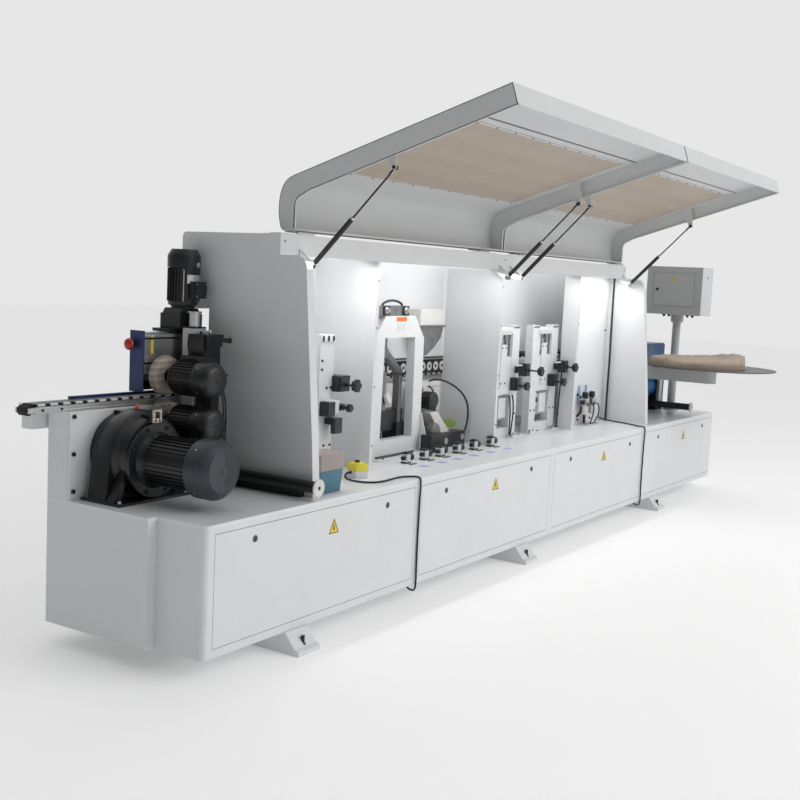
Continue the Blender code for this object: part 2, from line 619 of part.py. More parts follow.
# ------------------------------------------------------------------ hoods
def hood_outer():
    """Outer line of the hood section, from the hinge edge round the back to the front tip."""
    rise = Vector((-math.cos(HOOD_SLOPE), math.sin(HOOD_SLOPE)))
    points = [Vector((0.297, 1.5925)), Vector((0.345, 1.5925)), Vector((0.362, 1.600)),
              Vector((0.372, 1.616)), Vector((0.380, 1.652)), Vector((0.382, 1.700)),
              Vector((0.379, 1.735)), Vector((0.371, 1.765)), Vector((0.357, 1.792)),
              Vector((0.335, 1.812)), Vector((0.306, 1.826))]
    points.append(points[-1] + rise * 1.060)
    return points


def offset_line(points, distance):
    """Parallel line on the left of an open path, mitred at its corners."""
    moved = []
    for i, point in enumerate(points):
        before = (point - points[i - 1]).normalized() if i > 0 else None
        after = (points[i + 1] - point).normalized() if i < len(points) - 1 else None
        if before is None:
            before = after
        if after is None:
            after = before
        normal = Vector((-before.y - after.y, before.x + after.x)).normalized()
        scale = 1.0 / max(0.5, math.sqrt(0.5 * (1.0 + before.dot(after))))
        moved.append(point + normal * distance * scale)
    return moved


def window_span(number):
    left, right = HOOD_SPANS[number - 1]
    outer_border, inner_border = (0.060, 0.090)
    if number == 1:
        return (left + outer_border, right - inner_border)
    return (left + inner_border, right - outer_border)


def make_hood_shell(number):
    """Lifting hood: rounded skin, deep end flanges, front and rear lips, window opening."""
    left, right = HOOD_SPANS[number - 1]
    outer = hood_outer()
    band = offset_line(outer[3:], HOOD_DEPTH)
    inner_edge = [Vector((0.297, 1.6050))] + band[1:]
    outline = outer + list(reversed(inner_edge))
    bm = bmesh.new()
    add_prism(bm, [tuple(p) for p in outline], "X", (left, right))
    hood = place(f"hood_shell_{number}", bm, (0.5 * (left + right), HINGE_Y, HINGE_Z), PAINT_GREY,
                 smooth=True)
    skin = offset_line(outer, HOOD_SKIN)
    rise = (outer[-1] - outer[-2]).normalized()
    skin[-1] = skin[-1] - rise * HOOD_SKIN
    deep = offset_line(outer[3:], HOOD_DEPTH + 0.08)
    room = skin[1:] + [deep[-1] - rise * HOOD_SKIN] + [Vector((0.200, 1.700)), Vector((0.200, 1.5955))]
    cut(hood, "_room", lambda bm: add_prism(bm, [tuple(p) for p in room], "X",
                                            (left + HOOD_SKIN, right - HOOD_SKIN)))
    cut(hood, "_window", lambda bm: add_window_block(bm, number, -0.02, 0.05, 0.0))
    head = Vector(STRUT_HEAD)
    hang = Vector((math.sin(HOOD_SLOPE), math.cos(HOOD_SLOPE)))
    along = Vector((-math.cos(HOOD_SLOPE), math.sin(HOOD_SLOPE)))
    depth = (head - outer[-2]).dot(-hang)
    top = head + hang * (depth - 0.001)
    ear = [top + along * 0.040, top - along * 0.040, head - along * 0.012, head - hang * 0.012,
           head + along * 0.012]
    sides = STRUT_BRACKETS[2 * number - 2: 2 * number]
    for tag, start in zip(("_ear_left", "_ear_right"), sides):
        unite(hood, tag, lambda bm, s=(start, start + 0.004): add_prism(bm, [tuple(p) for p in ear],
                                                                       "X", s))
    return hood


def add_window_block(bm, number, low, high, inset):
    """A block that follows the long panel, between two depths under its outer face."""
    corner = hood_outer()[-2]
    rise = Vector((-math.cos(HOOD_SLOPE), math.sin(HOOD_SLOPE)))
    down = Vector((-math.sin(HOOD_SLOPE), -math.cos(HOOD_SLOPE)))
    start = corner + rise * (0.110 + inset)
    end = corner + rise * (0.760 - inset)
    left, right = window_span(number)
    outline = [start + down * low, end + down * low, end + down * high, start + down * high]
    add_prism(bm, [tuple(p) for p in outline], "X", (left + inset, right - inset))


def make_hood_window(number):
    """Clear window sheet under brown protective film, set in the hood's opening."""
    left, right = HOOD_SPANS[number - 1]
    bm = bmesh.new()
    add_window_block(bm, number, 0.0, 0.003, GAP)
    return place(f"hood_window_{number}", bm, (0.5 * (left + right), HINGE_Y, HINGE_Z), FILM)


def strut_direction():
    foot = Vector((0.0, *STRUT_FOOT))
    head = Vector((0.0, *STRUT_HEAD))
    return (head - foot).normalized(), (head - foot).length


def make_strut_tube(number, along):
    """Gas strut cylinder with a blind bore and a pivot eye at its foot."""
    direction, _ = strut_direction()
    foot = Vector((along, *STRUT_FOOT))
    profile = ((0.012, 0.0), (0.012, STRUT_TUBE_RADIUS), (STRUT_TUBE_LENGTH - 0.004, STRUT_TUBE_RADIUS),
               (STRUT_TUBE_LENGTH, STRUT_TUBE_RADIUS - 0.003), (STRUT_TUBE_LENGTH, 0.0055),
               (0.030, 0.0055), (0.030, 0.0))
    bm = bmesh.new()
    add_turned(bm, foot, direction, profile, 16)
    tube = place(f"strut_tube_{number}", bm, foot, BLACK, smooth=True)
    unite(tube, "_eye", lambda bm: add_round(bm, foot - Vector((0.009, 0.0, 0.0)),
                                             foot + Vector((0.009, 0.0, 0.0)), 0.014, 16))
    return tube


def make_strut_rod(number, along):
    """Gas strut rod with the eye that meets the hood bracket."""
    direction, length = strut_direction()
    foot = Vector((along, *STRUT_FOOT))
    head = foot + direction * length
    bm = bmesh.new()
    add_round(bm, foot + direction * (STRUT_TUBE_LENGTH - 0.040), head, STRUT_ROD_RADIUS, 12)
    rod = place(f"strut_rod_{number}", bm, head, STEEL, smooth=True)
    unite(rod, "_eye", lambda bm: add_round(bm, head - Vector((0.006, 0.0, 0.0)),
                                            head + Vector((0.006, 0.0, 0.0)), 0.010, 16))
    return rod


# ------------------------------------------------------------------ working units
def make_scraper_post():
    """Scraping unit: a post with an arm back to the panel edge and two adjuster blocks."""
    outline = ((0.360, DECK_TOP + GAP), (0.360, 0.790), (0.315, 0.790), (0.315, 0.850),
               (0.360, 0.850), (0.360, 1.147), (0.410, 1.147), (0.410, 1.000), (0.600, 1.000), (0.640, 0.960),
               (0.640, 0.915), (0.540, 0.900), (0.410, 0.870), (0.410, 0.600), (0.500, 0.520),
               (0.500, DECK_TOP + GAP))
    bm = bmesh.new()
    add_prism(bm, outline, "X", (1.135, 1.240))
    post = place("scraper_post", bm, (1.180, 0.380, DECK_TOP + GAP), PAINT_LIGHT)
    unite(post, "_block", lambda bm: add_box(bm, (1.195, 1.280), (0.310, 0.400), (0.887, 0.960)))
    return post


def make_knob(name, tip, radius, shaft_end):
    """Adjuster knob with five lobes on a shaft that turns about Y."""
    x, y, z = tip
    bm = bmesh.new()
    ring = []
    for i in range(20):
        angle = 2.0 * math.pi * i / 20.0
        reach = radius * (1.0 + 0.16 * math.cos(5.0 * angle))
        ring.append((x + reach * math.cos(angle), z + reach * math.sin(angle)))
    add_prism(bm, ring, "Y", (y, y + 0.024))
    knob = place(name, bm, (x, shaft_end, z), BLACK, smooth=True)
    unite(knob, "_shaft", lambda bm: add_round(bm, (x, y + 0.012, z), (x, shaft_end, z), 0.006, 16))
    return knob


def make_corner_arch():
    """Arched plate that carries the corner rounding heads."""
    outline = ((1.668, DECK_TOP + GAP), (2.148, DECK_TOP + GAP), (2.143, 1.110), (2.048, 1.226),
               (1.773, 1.226), (1.678, 1.110))
    bm = bmesh.new()
    add_prism(bm, outline, "Y", (0.455, 0.505))
    arch = place("corner_arch", bm, (1.908, 0.480, DECK_TOP + GAP), PAINT_LIGHT)
    window = ((1.763, 0.590), (2.065, 0.590), (2.055, 1.115), (1.773, 1.115))
    cut(arch, "_window", lambda bm: add_prism(bm, window, "Y", (0.4, 0.6)))
    return arch


def make_trim_portal(number, left, right, knob_x, knob_z):
    """Trimming unit: a portal with a cross plate, an adjuster block and a cutter housing."""
    back = 0.450
    bm = bmesh.new()
    add_box(bm, (left, right), (0.400, back), (DECK_TOP + GAP, 1.172))
    portal = place(f"trim_portal_{number}", bm, (left, 0.425, DECK_TOP + GAP), PAINT_LIGHT)
    cut(portal, "_upper", lambda bm: add_box(bm, (left + 0.085, right - 0.090), (0.3, 0.5),
                                             (0.985, 1.125)))
    cut(portal, "_lower", lambda bm: add_box(bm, (left + 0.085, right - 0.090), (0.3, 0.5),
                                             (0.560, 0.760)))
    unite(portal, "_cutter", lambda bm: add_box(bm, (left + 0.120, right - 0.110), (0.440, 0.600),
                                                (0.800, 0.950)))
    unite(portal, "_block", lambda bm: add_box(bm, (knob_x - 0.033, knob_x + 0.022),
                                               (0.318, 0.364), (knob_z - 0.036, knob_z + 0.040)))
    unite(portal, "_neck", lambda bm: add_box(bm, (knob_x - 0.018, knob_x + 0.012),
                                              (0.360, 0.405), (knob_z - 0.020, knob_z + 0.020)))
    return portal


# ------------------------------------------------------------------ infeed end
def make_control_box():
    """Switch cabinet on a round post; its door opening faces the exit end."""
    box = plain_box("control_box", CONTROL_X, CONTROL_Y, CONTROL_Z, PAINT_GREY)
    cut(box, "_room", lambda bm: add_box(bm, (CONTROL_X[0] + 0.006, CONTROL_X[1] - 0.004),
                                         (CONTROL_Y[0] + 0.004, CONTROL_Y[1] - 0.004),
                                         (CONTROL_Z[0] + 0.004, CONTROL_Z[1] - 0.004)))
    cut(box, "_opening", lambda bm: add_box(bm, (CONTROL_X[0] - 0.1, CONTROL_X[0] + 0.05),
                                            (0.138, 0.467), (1.305, 1.567)))
    x, y = CONTROL_POST
    profile = ((0.0, 0.0), (0.0, 0.060), (0.010, 0.060), (0.010, 0.031), (0.680, 0.031),
               (0.690, 0.048), (0.747, 0.050), (0.747, 0.0))
    unite(box, "_post", lambda bm: add_turned(bm, (x, y, DECK_TOP + GAP), (0.0, 0.0, 1.0),
                                              profile, 28))
    return box


def make_control_door():
    """Small door in the face of the switch cabinet, hinged at the edge nearer the operator."""
    front = CONTROL_X[0]
    bm = bmesh.new()
    add_box(bm, (front, front + 0.005), (0.1395, 0.4655), (1.3065, 1.5655))
    return place("control_door", bm, (front, 0.1395, 1.3065), PAINT_GREY)


def make_tape_arm():
    """Beam on a post that holds the tape table."""
    x = TAPE_CENTRE[0]
    bm = bmesh.new()
    half = 0.058
    outline = [(x - half, 0.600), (x - half, -0.130)]
    for i in range(1, 8):
        angle = math.radians(180.0 + 22.5 * i)
        outline.append((x + half * math.cos(angle), -0.130 + half * math.sin(angle)))
    outline += [(x + half, -0.130), (x + half, 0.600)]
    add_prism(bm, outline, "Z", (0.768, 0.858))
    arm = place("tape_arm", bm, (x, 0.540, DECK_TOP + GAP), PAINT_GREY)
    unite(arm, "_post", lambda bm: add_box(bm, (x - 0.050, x + 0.050), (0.480, 0.599),
                                           (DECK_TOP + GAP, 0.800)))
    unite(arm, "_hub", lambda bm: add_round(bm, (x, TAPE_CENTRE[1], 0.850),
                                            (x, TAPE_CENTRE[1], TAPE_Z - GAP), 0.030, 24))
    return arm


def make_tape_disc():
    """Turning table for the edging coil, with a centre spindle."""
    x, y = TAPE_CENTRE
    profile = ((0.0, 0.0), (0.0, TAPE_RADIUS - 0.002), (0.002, TAPE_RADIUS), (0.008, TAPE_RADIUS),
               (0.008, 0.045), (0.075, 0.045), (0.078, 0.040), (0.078, 0.0))
    bm = bmesh.new()
    add_turned(bm, (x, y, TAPE_Z), (0.0, 0.0, 1.0), profile, 64)
    return place("tape_disc", bm, (x, y, TAPE_Z), DISC_GREY, smooth=True)


def make_glue_unit():
    """Gluing unit on two feet either side of a support tube: body, blue motor, covered pot."""
    left = TAPE_CENTRE[0] + 0.065
    bm = bmesh.new()
    add_box(bm, (5.450, 5.600), (0.362, 0.600), (DECK_TOP + GAP, 0.780))
    glue = place("glue_unit", bm, (5.400, 0.480, DECK_TOP + GAP), BLACK)
    unite(glue, "_pot", lambda bm: add_box(bm, (left, 5.572), (0.364, 0.620), (0.772, 1.020)))
    unite(glue, "_motor", lambda bm: add_round(bm, (left + 0.002, 0.462, 0.686), (5.455, 0.462, 0.686),
                                               0.090, 32))
    unite(glue, "_foot", lambda bm: add_box(bm, (left + 0.001, 5.350), (0.400, 0.520),
                                            (DECK_TOP + GAP, 0.680)))
    return glue


def make_air_unit():
    """Filter and regulator set on a bracket."""
    bm = bmesh.new()
    add_box(bm, (3.990, 4.170), (0.290, 0.370), (DECK_TOP + GAP, 0.512))
    unit = place("air_unit", bm, (4.080, 0.330, DECK_TOP + GAP), BLACK)
    unite(unit, "_stem", lambda bm: add_box(bm, (4.085, 4.105), (0.355, 0.368), (0.505, 0.670)))
    unite(unit, "_body", lambda bm: add_box(bm, (3.990, 4.200), (0.318, 0.360), (0.632, 0.680)))
    for number, x in enumerate((4.040, 4.150), start=1):
        unite(unit, f"_knob_{number}",
              lambda bm, a=x: add_round(bm, (a, 0.339, 0.675), (a, 0.339, 0.725), 0.021, 20))
        unite(unit, f"_bowl_{number}",
              lambda bm, a=x: add_round(bm, (a, 0.339, 0.568), (a, 0.339, 0.640), 0.017, 20))
    return unit


# ------------------------------------------------------------------ panel support and loose items
def make_outrigger():
    """Panel support: a rail behind the conveyor on two tubes that slide through the column."""
    bm = bmesh.new()
    add_box(bm, RAIL_SPAN, (RAIL_FRONT, RAIL_BACK), (0.770, 0.858))
    rail = place("outrigger", bm, (0.0, RAIL_FRONT, OUTRIGGER_Z), PAINT_GREY)
    hollow = (RAIL_SPAN[0] + 0.004, RAIL_SPAN[1] - 0.004)
    cut(rail, "_channel", lambda bm: add_box(bm, hollow, (RAIL_FRONT + 0.004, RAIL_BACK - 0.004),
                                             (0.700, 0.854)))
    rear = 0.5 * (RAIL_FRONT + RAIL_BACK)
    for number, (x, front) in enumerate(zip(OUTRIGGER_X, OUTRIGGER_FRONT), start=1):
        unite(rail, f"_leg_{number}",
              lambda bm, a=x: add_box(bm, (a - 0.030, a + 0.030), (RAIL_FRONT + 0.001, RAIL_BACK - 0.001),
                                      (OUTRIGGER_Z - 0.035, 0.857)))
        profile = ((0.0, 0.0), (0.0, 0.0365), (0.008, 0.0365), (0.008, OUTRIGGER_RADIUS),
                   (rear - front, OUTRIGGER_RADIUS), (rear - front, 0.0))
        unite(rail, f"_tube_{number}",
              lambda bm, a=x, y=front, p=profile: add_turned(bm, (a, y, OUTRIGGER_Z),
                                                             (0.0, 1.0, 0.0), p, 28))
    return rail


def box_corner(along, across):
    """Point of the push-button box, which lies turned on the deck."""
    turn = math.radians(BOX_TURN)
    return (BOX_CORNER[0] + along * math.cos(turn) - across * math.sin(turn),
            BOX_CORNER[1] + along * math.sin(turn) + across * math.cos(turn))


def make_button_box():
    """Yellow push-button box resting on the deck."""
    low = DECK_TOP + GAP
    length, width = BOX_SIZE
    outline = [box_corner(a, b) for a, b in ((0.0, 0.0), (length, 0.0), (length, width), (0.0, width))]
    bm = bmesh.new()
    add_prism(bm, outline, "Z", (low, low + 0.070))
    x, y = box_corner(0.5 * length, 0.5 * width)
    box = place("button_box", bm, (x, y, low), YELLOW)
    soften(box, 0.005)
    cut(box, "_well", lambda bm: add_round(bm, (x, y, low + 0.052), (x, y, low + 0.090), 0.0135, 24))
    return box


def make_box_button():
    """Black push button in the top of the yellow box."""
    low = DECK_TOP + GAP + 0.0523
    bm = bmesh.new()
    profile = ((0.0, 0.0), (0.0, 0.012), (0.022, 0.012), (0.025, 0.009), (0.025, 0.0))
    start = box_corner(0.5 * BOX_SIZE[0], 0.5 * BOX_SIZE[1]) + (low + 0.0035,)
    add_turned(bm, start, (0.0, 0.0, 1.0), profile, 24)
    return place("box_button", bm, start, BLACK, smooth=True)


def make_fluid_tank():
    """Release-agent tank inside the exit shield, wider at the top than at the bottom."""
    low = DECK_TOP + GAP
    bm = bmesh.new()
    verts = add_box(bm, (0.768, 0.925), (0.078, 0.180), (low, low + 0.169))
    for vert in verts:
        if vert.co.z > low + 0.1:
            vert.co.x += -0.011 if vert.co.x < 0.85 else 0.015
            vert.co.y += 0.006 if vert.co.y > 0.12 else -0.008
    tank = place("fluid_tank", bm, (0.846, 0.129, low), TEAL)
    soften(tank, 0.008)
    return tank


def smooth_route(points, steps):
    """Catmull-Rom curve through the route's own points."""
    path = []
    pts = [Vector(p) for p in points]
    pts = [pts[0] * 2.0 - pts[1]] + pts + [pts[-1] * 2.0 - pts[-2]]
    for i in range(1, len(pts) - 2):
        a, b, c, d = pts[i - 1], pts[i], pts[i + 1], pts[i + 2]
        for k in range(steps):
            t = k / steps
            path.append(0.5 * ((2.0 * b) + (c - a) * t + (2.0 * a - 5.0 * b + 4.0 * c - d) * t * t
                               + (3.0 * b - a - 3.0 * c + d) * t * t * t))
    path.append(pts[-2])
    return path


CABLES = {
    "cable_left": (0.0045, 3, (
        (1.2060, 0.2333, 0.526), (1.1970, 0.2362, 0.5255), (1.1800, 0.2380, 0.521),
        (1.1580, 0.2280, 0.513), (1.1420, 0.2050, 0.5080), (1.1330, 0.1700, 0.5056),
        (1.1320, 0.1330, 0.5052), (1.1440, 0.1000, 0.5052), (1.1700, 0.0760, 0.5052),
        (1.2100, 0.0640, 0.5052), (1.2700, 0.0640, 0.5052), (1.3300, 0.0700, 0.5052),
        (1.3850, 0.0680, 0.5052), (1.4200, 0.0450, 0.5055), (1.4315, 0.008, 0.5070),
        (1.4315, -0.0085, 0.490),
        (1.4315, -0.0075, 0.400), (1.4315, -0.0065, 0.250), (1.4315, -0.0070, 0.100),
        (1.4315, -0.0080, 0.010), (1.4315, -0.0010, -0.0260), (1.4315, 0.022, -0.0300),
        (1.4315, 0.040, -0.0180), (1.4315, 0.0420, -0.0006))),
    "cable_right": (0.0045, 3, (
        (4.405, 0.3845, 0.5160), (4.405, 0.3750, 0.5158), (4.402, 0.340, 0.5100), (4.395, 0.270, 0.5052), (4.370, 0.190, 0.5052),
        (4.330, 0.110, 0.5052), (4.285, 0.045, 0.5055), (4.2715, 0.008, 0.5070),
        (4.2715, -0.0085, 0.490), (4.2715, -0.0075, 0.400), (4.2715, -0.0065, 0.250),
        (4.2715, -0.0070, 0.100), (4.2715, -0.0080, 0.010), (4.2715, -0.0010, -0.0260),
        (4.2715, 0.022, -0.0300), (4.2715, 0.040, -0.0180), (4.2715, 0.0420, -0.0006))),
    "cable_drop": (0.0070, 4, (
        (4.4250, 0.345, 1.4904), (4.4245, 0.345, 1.430), (4.4210, 0.344, 1.300), (4.4180, 0.342, 1.120),
        (4.4200, 0.341, 0.950), (4.4240, 0.344, 0.780), (4.4280, 0.346, 0.640), (4.4290, 0.347, 0.5008))),
}


def make_cable(name):
    """Round cable along its route."""
    radius, steps, route = CABLES[name]
    points = smooth_route(route, steps)
    curve = bpy.data.curves.new(name, "CURVE")
    curve.dimensions = "3D"
    spline = curve.splines.new("POLY")
    spline.points.add(len(points) - 1)
    origin = Vector(route[0])
    for target, point in zip(spline.points, points):
        target.co = (*(point - origin), 1.0)
    curve.bevel_depth = radius
    curve.bevel_resolution = 2
    curve.use_fill_caps = True
    curve.materials.append(material(BLACK))
    made = bpy.data.objects.new(name, curve)
    bpy.context.scene.collection.objects.link(made)
    made.location = origin + LAYOUT_SHIFT
    return made


def main():
    clear_scene()
    make_base_frame()
    make_cabinet_shell()
    make_deck_plate()
    for number, span in enumerate(DOOR_SPANS, start=1):
        make_door(number, span)
    make_rear_column()
    make_conveyor_track()
    make_chain_pads()
    make_conveyor_roller()
    make_pressure_beam()
    make_roller_carrier()
    make_lift_motor()
    make_estop_button()
    make_gear_reducer()
    make_gear_motor()
    make_buff_motors()
    make_buff_wheel("buff_wheel_upper", BUFF_UPPER_Z)
    make_buff_wheel("buff_wheel_lower", BUFF_LOWER_Z)
    make_shield("shield_left", SHIELD_LEFT_X, 1.0)
    make_shield("shield_right", SHIELD_RIGHT_X, 1.0)
    for number, along in enumerate(DIVIDER_X, start=1):
        make_divider(number, along)
    make_header_beam()
    make_rear_cover()
    for number in (1, 2):
        make_hood_shell(number)
        make_hood_window(number)
    for number, along in enumerate(STRUT_X, start=1):
        make_strut_tube(number, along)
        make_strut_rod(number, along)
    make_scraper_post()
    make_knob("scraper_knob", (1.250, 0.240, 0.918), 0.024, 0.3097)
    make_corner_arch()
    make_trim_portal(1, 2.790, 3.150, 3.125, 0.908)
    make_trim_portal(2, 3.330, 3.690, 3.665, 0.908)
    make_knob("trim_knob_1", (3.125, 0.222, 0.908), 0.024, 0.3177)
    make_knob("trim_knob_2", (3.665, 0.245, 0.908), 0.024, 0.3177)
    make_control_box()
    make_control_door()
    make_tape_arm()
    make_tape_disc()
    make_glue_unit()
    make_air_unit()
    make_outrigger()
    make_button_box()
    make_box_button()
    make_fluid_tank()
    for name in CABLES:
        make_cable(name)


main()
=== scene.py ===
"""Edge banding machine: looks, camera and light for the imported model."""
import math
import random

import bmesh
import bpy
from mathutils import Matrix, Vector, noise


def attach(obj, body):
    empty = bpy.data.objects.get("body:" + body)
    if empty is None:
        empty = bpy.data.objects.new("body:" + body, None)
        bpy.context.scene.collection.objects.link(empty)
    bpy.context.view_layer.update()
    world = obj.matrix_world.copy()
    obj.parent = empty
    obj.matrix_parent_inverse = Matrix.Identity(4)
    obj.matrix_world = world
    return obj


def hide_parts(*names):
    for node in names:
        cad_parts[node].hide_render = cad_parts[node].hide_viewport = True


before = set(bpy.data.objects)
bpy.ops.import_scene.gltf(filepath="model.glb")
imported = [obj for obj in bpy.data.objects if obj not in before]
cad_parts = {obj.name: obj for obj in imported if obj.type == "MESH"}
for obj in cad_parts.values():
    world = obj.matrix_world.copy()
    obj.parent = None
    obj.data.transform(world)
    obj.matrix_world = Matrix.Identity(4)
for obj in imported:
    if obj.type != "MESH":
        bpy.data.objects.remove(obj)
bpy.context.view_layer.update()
random.seed(11)

# Shapes are laid out from the lower front corner of the cabinet; SHIFT moves them to the row frame.
SHIFT = Vector((-2.75875, -0.0688, 0.085))
FRONT, BACK, LEFT, RIGHT = (0, -1, 0), (0, 1, 0), (-1, 0, 0), (1, 0, 0)
UP, DOWNWARD = (0, 0, 1), (0, 0, -1)
ON_DECK = 0.5004        # a hair above the deck plate


# ------------------------------------------------------------------ camera
CAMERA_PLACE = (-2.955, -2.709, 1.411)
CAMERA_TURN = (57.1057, -6.083, 2.7796)      # yaw, pitch and roll
CAMERA_LENS = 50.74                           # on a sensor 36 wide


def make_camera():
    """Eye height, low three-quarter view from the exit end."""
    data = bpy.data.cameras.new("camera")
    data.lens = CAMERA_LENS
    data.sensor_width = 36.0
    data.clip_end = 200.0
    camera = bpy.data.objects.new("camera", data)
    bpy.context.scene.collection.objects.link(camera)
    yaw, pitch, roll = (math.radians(angle) for angle in CAMERA_TURN)
    forward = Vector((math.sin(yaw) * math.cos(pitch), math.cos(yaw) * math.cos(pitch), math.sin(pitch)))
    side = Vector((math.cos(yaw), -math.sin(yaw), 0.0))
    up = side.cross(forward)
    right = side * math.cos(roll) + up * math.sin(roll)
    top = -side * math.sin(roll) + up * math.cos(roll)
    turn = Matrix((right, top, -forward)).transposed().to_4x4()
    camera.matrix_world = Matrix.Translation(Vector(CAMERA_PLACE) + SHIFT) @ turn
    bpy.context.scene.camera = camera
    bpy.context.scene.view_settings.view_transform = "Standard"


# ------------------------------------------------------------------ materials
def new_tree(name):
    """Material with its node tree and shader."""
    made = bpy.data.materials.new(name)
    made.use_nodes = True
    tree = made.node_tree
    return made, tree, tree.nodes["Principled BSDF"]


def add_node(tree, kind, inputs=None, **settings):
    """Node with its inputs and settings filled in."""
    node = tree.nodes.new(kind)
    for key, value in settings.items():
        setattr(node, key, value)
    for key, value in (inputs or {}).items():
        node.inputs[key].default_value = value
    return node


def shade(colour, factor):
    """Colour made lighter or darker, with alpha."""
    return tuple(min(1.0, max(0.0, c * factor)) for c in colour[:3]) + (1.0,)


def coordinates(tree, stretch=(1.0, 1.0, 1.0)):
    """Object coordinates, stretched where the grain runs one way."""
    place = add_node(tree, "ShaderNodeTexCoord")
    mapping = add_node(tree, "ShaderNodeMapping", {"Scale": stretch})
    tree.links.new(place.outputs["Object"], mapping.inputs["Vector"])
    return mapping.outputs["Vector"]


def surface(name, colour, rough, metallic=0.0, vary=0.05, patch=5.0, spread=0.06, peel=0.1,
            peel_scale=420.0, depth=0.0004, stretch=(1.0, 1.0, 1.0), specular=0.5, coat=0.0,
            dust=None, dust_amount=0.0):
    """Paint, plastic or metal with patchy colour, uneven gloss and a fine skin of bumps."""
    made, tree, shader = new_tree(name)
    where = coordinates(tree, stretch)
    link = tree.links.new
    broad = add_node(tree, "ShaderNodeTexNoise", {"Scale": patch, "Detail": 5.0, "Roughness": 0.62})
    link(where, broad.inputs["Vector"])
    ramp = add_node(tree, "ShaderNodeValToRGB")
    ramp.color_ramp.elements[0].position = 0.3
    ramp.color_ramp.elements[0].color = shade(colour, 1.0 - vary)
    ramp.color_ramp.elements[1].position = 0.72
    ramp.color_ramp.elements[1].color = shade(colour, 1.0 + vary)
    link(broad.outputs["Fac"], ramp.inputs["Fac"])
    colour_out = ramp.outputs["Color"]
    if dust is not None:
        speck = add_node(tree, "ShaderNodeTexNoise", {"Scale": patch * 9.0, "Detail": 8.0,
                "Roughness": 0.7})
        link(where, speck.inputs["Vector"])
        reach = add_node(tree, "ShaderNodeMapRange", {"From Min": 0.52, "From Max": 0.78,
                "To Max": dust_amount})
        link(speck.outputs["Fac"], reach.inputs["Value"])
        mix = add_node(tree, "ShaderNodeMixRGB", {"Color2": (*dust, 1.0)})
        link(reach.outputs["Result"], mix.inputs["Fac"])
        link(colour_out, mix.inputs["Color1"])
        colour_out = mix.outputs["Color"]
    link(colour_out, shader.inputs["Base Color"])
    gloss = add_node(tree, "ShaderNodeMapRange", {"To Min": max(0.02, rough - spread),
            "To Max": min(1.0, rough + spread)})
    link(broad.outputs["Fac"], gloss.inputs["Value"])
    link(gloss.outputs["Result"], shader.inputs["Roughness"])
    fine = add_node(tree, "ShaderNodeTexNoise", {"Scale": peel_scale, "Detail": 3.0})
    link(where, fine.inputs["Vector"])
    bump = add_node(tree, "ShaderNodeBump", {"Strength": peel, "Distance": depth})
    link(fine.outputs["Fac"], bump.inputs["Height"])
    link(bump.outputs["Normal"], shader.inputs["Normal"])
    shader.inputs["Metallic"].default_value = metallic
    shader.inputs["Specular IOR Level"].default_value = specular
    shader.inputs["Coat Weight"].default_value = coat
    return made


def ringed(name, colour, rough, rings, stretch, strength, depth, vary=0.25):
    """Layered or sewn material: fine bands broken up by noise."""
    made, tree, shader = new_tree(name)
    link = tree.links.new
    where = coordinates(tree, stretch)
    wave = add_node(tree, "ShaderNodeTexWave", {"Scale": rings, "Distortion": 5.0, "Detail": 4.0,
            "Detail Scale": 3.0})
    wave.wave_type = "BANDS"
    wave.bands_direction = "Z"
    link(where, wave.inputs["Vector"])
    fuzz = add_node(tree, "ShaderNodeTexNoise", {"Scale": 260.0, "Detail": 8.0, "Roughness": 0.75})
    link(coordinates(tree), fuzz.inputs["Vector"])
    mix = add_node(tree, "ShaderNodeMixRGB", {"Fac": 0.5})
    link(wave.outputs["Color"], mix.inputs["Color1"])
    link(fuzz.outputs["Color"], mix.inputs["Color2"])
    ramp = add_node(tree, "ShaderNodeValToRGB")
    ramp.color_ramp.elements[0].position = 0.25
    ramp.color_ramp.elements[0].color = shade(colour, 1.0 - vary)
    ramp.color_ramp.elements[1].position = 0.75
    ramp.color_ramp.elements[1].color = shade(colour, 1.0 + vary * 0.5)
    link(mix.outputs["Color"], ramp.inputs["Fac"])
    link(ramp.outputs["Color"], shader.inputs["Base Color"])
    bump = add_node(tree, "ShaderNodeBump", {"Strength": strength, "Distance": depth})
    link(mix.outputs["Color"], bump.inputs["Height"])
    link(bump.outputs["Normal"], shader.inputs["Normal"])
    shader.inputs["Roughness"].default_value = rough
    return made


def glowing(name, colour, strength):
    """Lamp glass that gives off light."""
    made, tree, shader = new_tree(name)
    where = coordinates(tree, (1.0, 1.0, 1.0))
    soft = add_node(tree, "ShaderNodeTexNoise", {"Scale": 6.0})
    ramp = add_node(tree, "ShaderNodeValToRGB")
    ramp.color_ramp.elements[0].color = shade(colour, 0.94)
    ramp.color_ramp.elements[1].color = shade(colour, 1.0)
    tree.links.new(where, soft.inputs["Vector"])
    tree.links.new(soft.outputs["Fac"], ramp.inputs["Fac"])
    tree.links.new(ramp.outputs["Color"], shader.inputs["Emission Color"])
    tree.links.new(ramp.outputs["Color"], shader.inputs["Base Color"])
    shader.inputs["Emission Strength"].default_value = strength
    return made


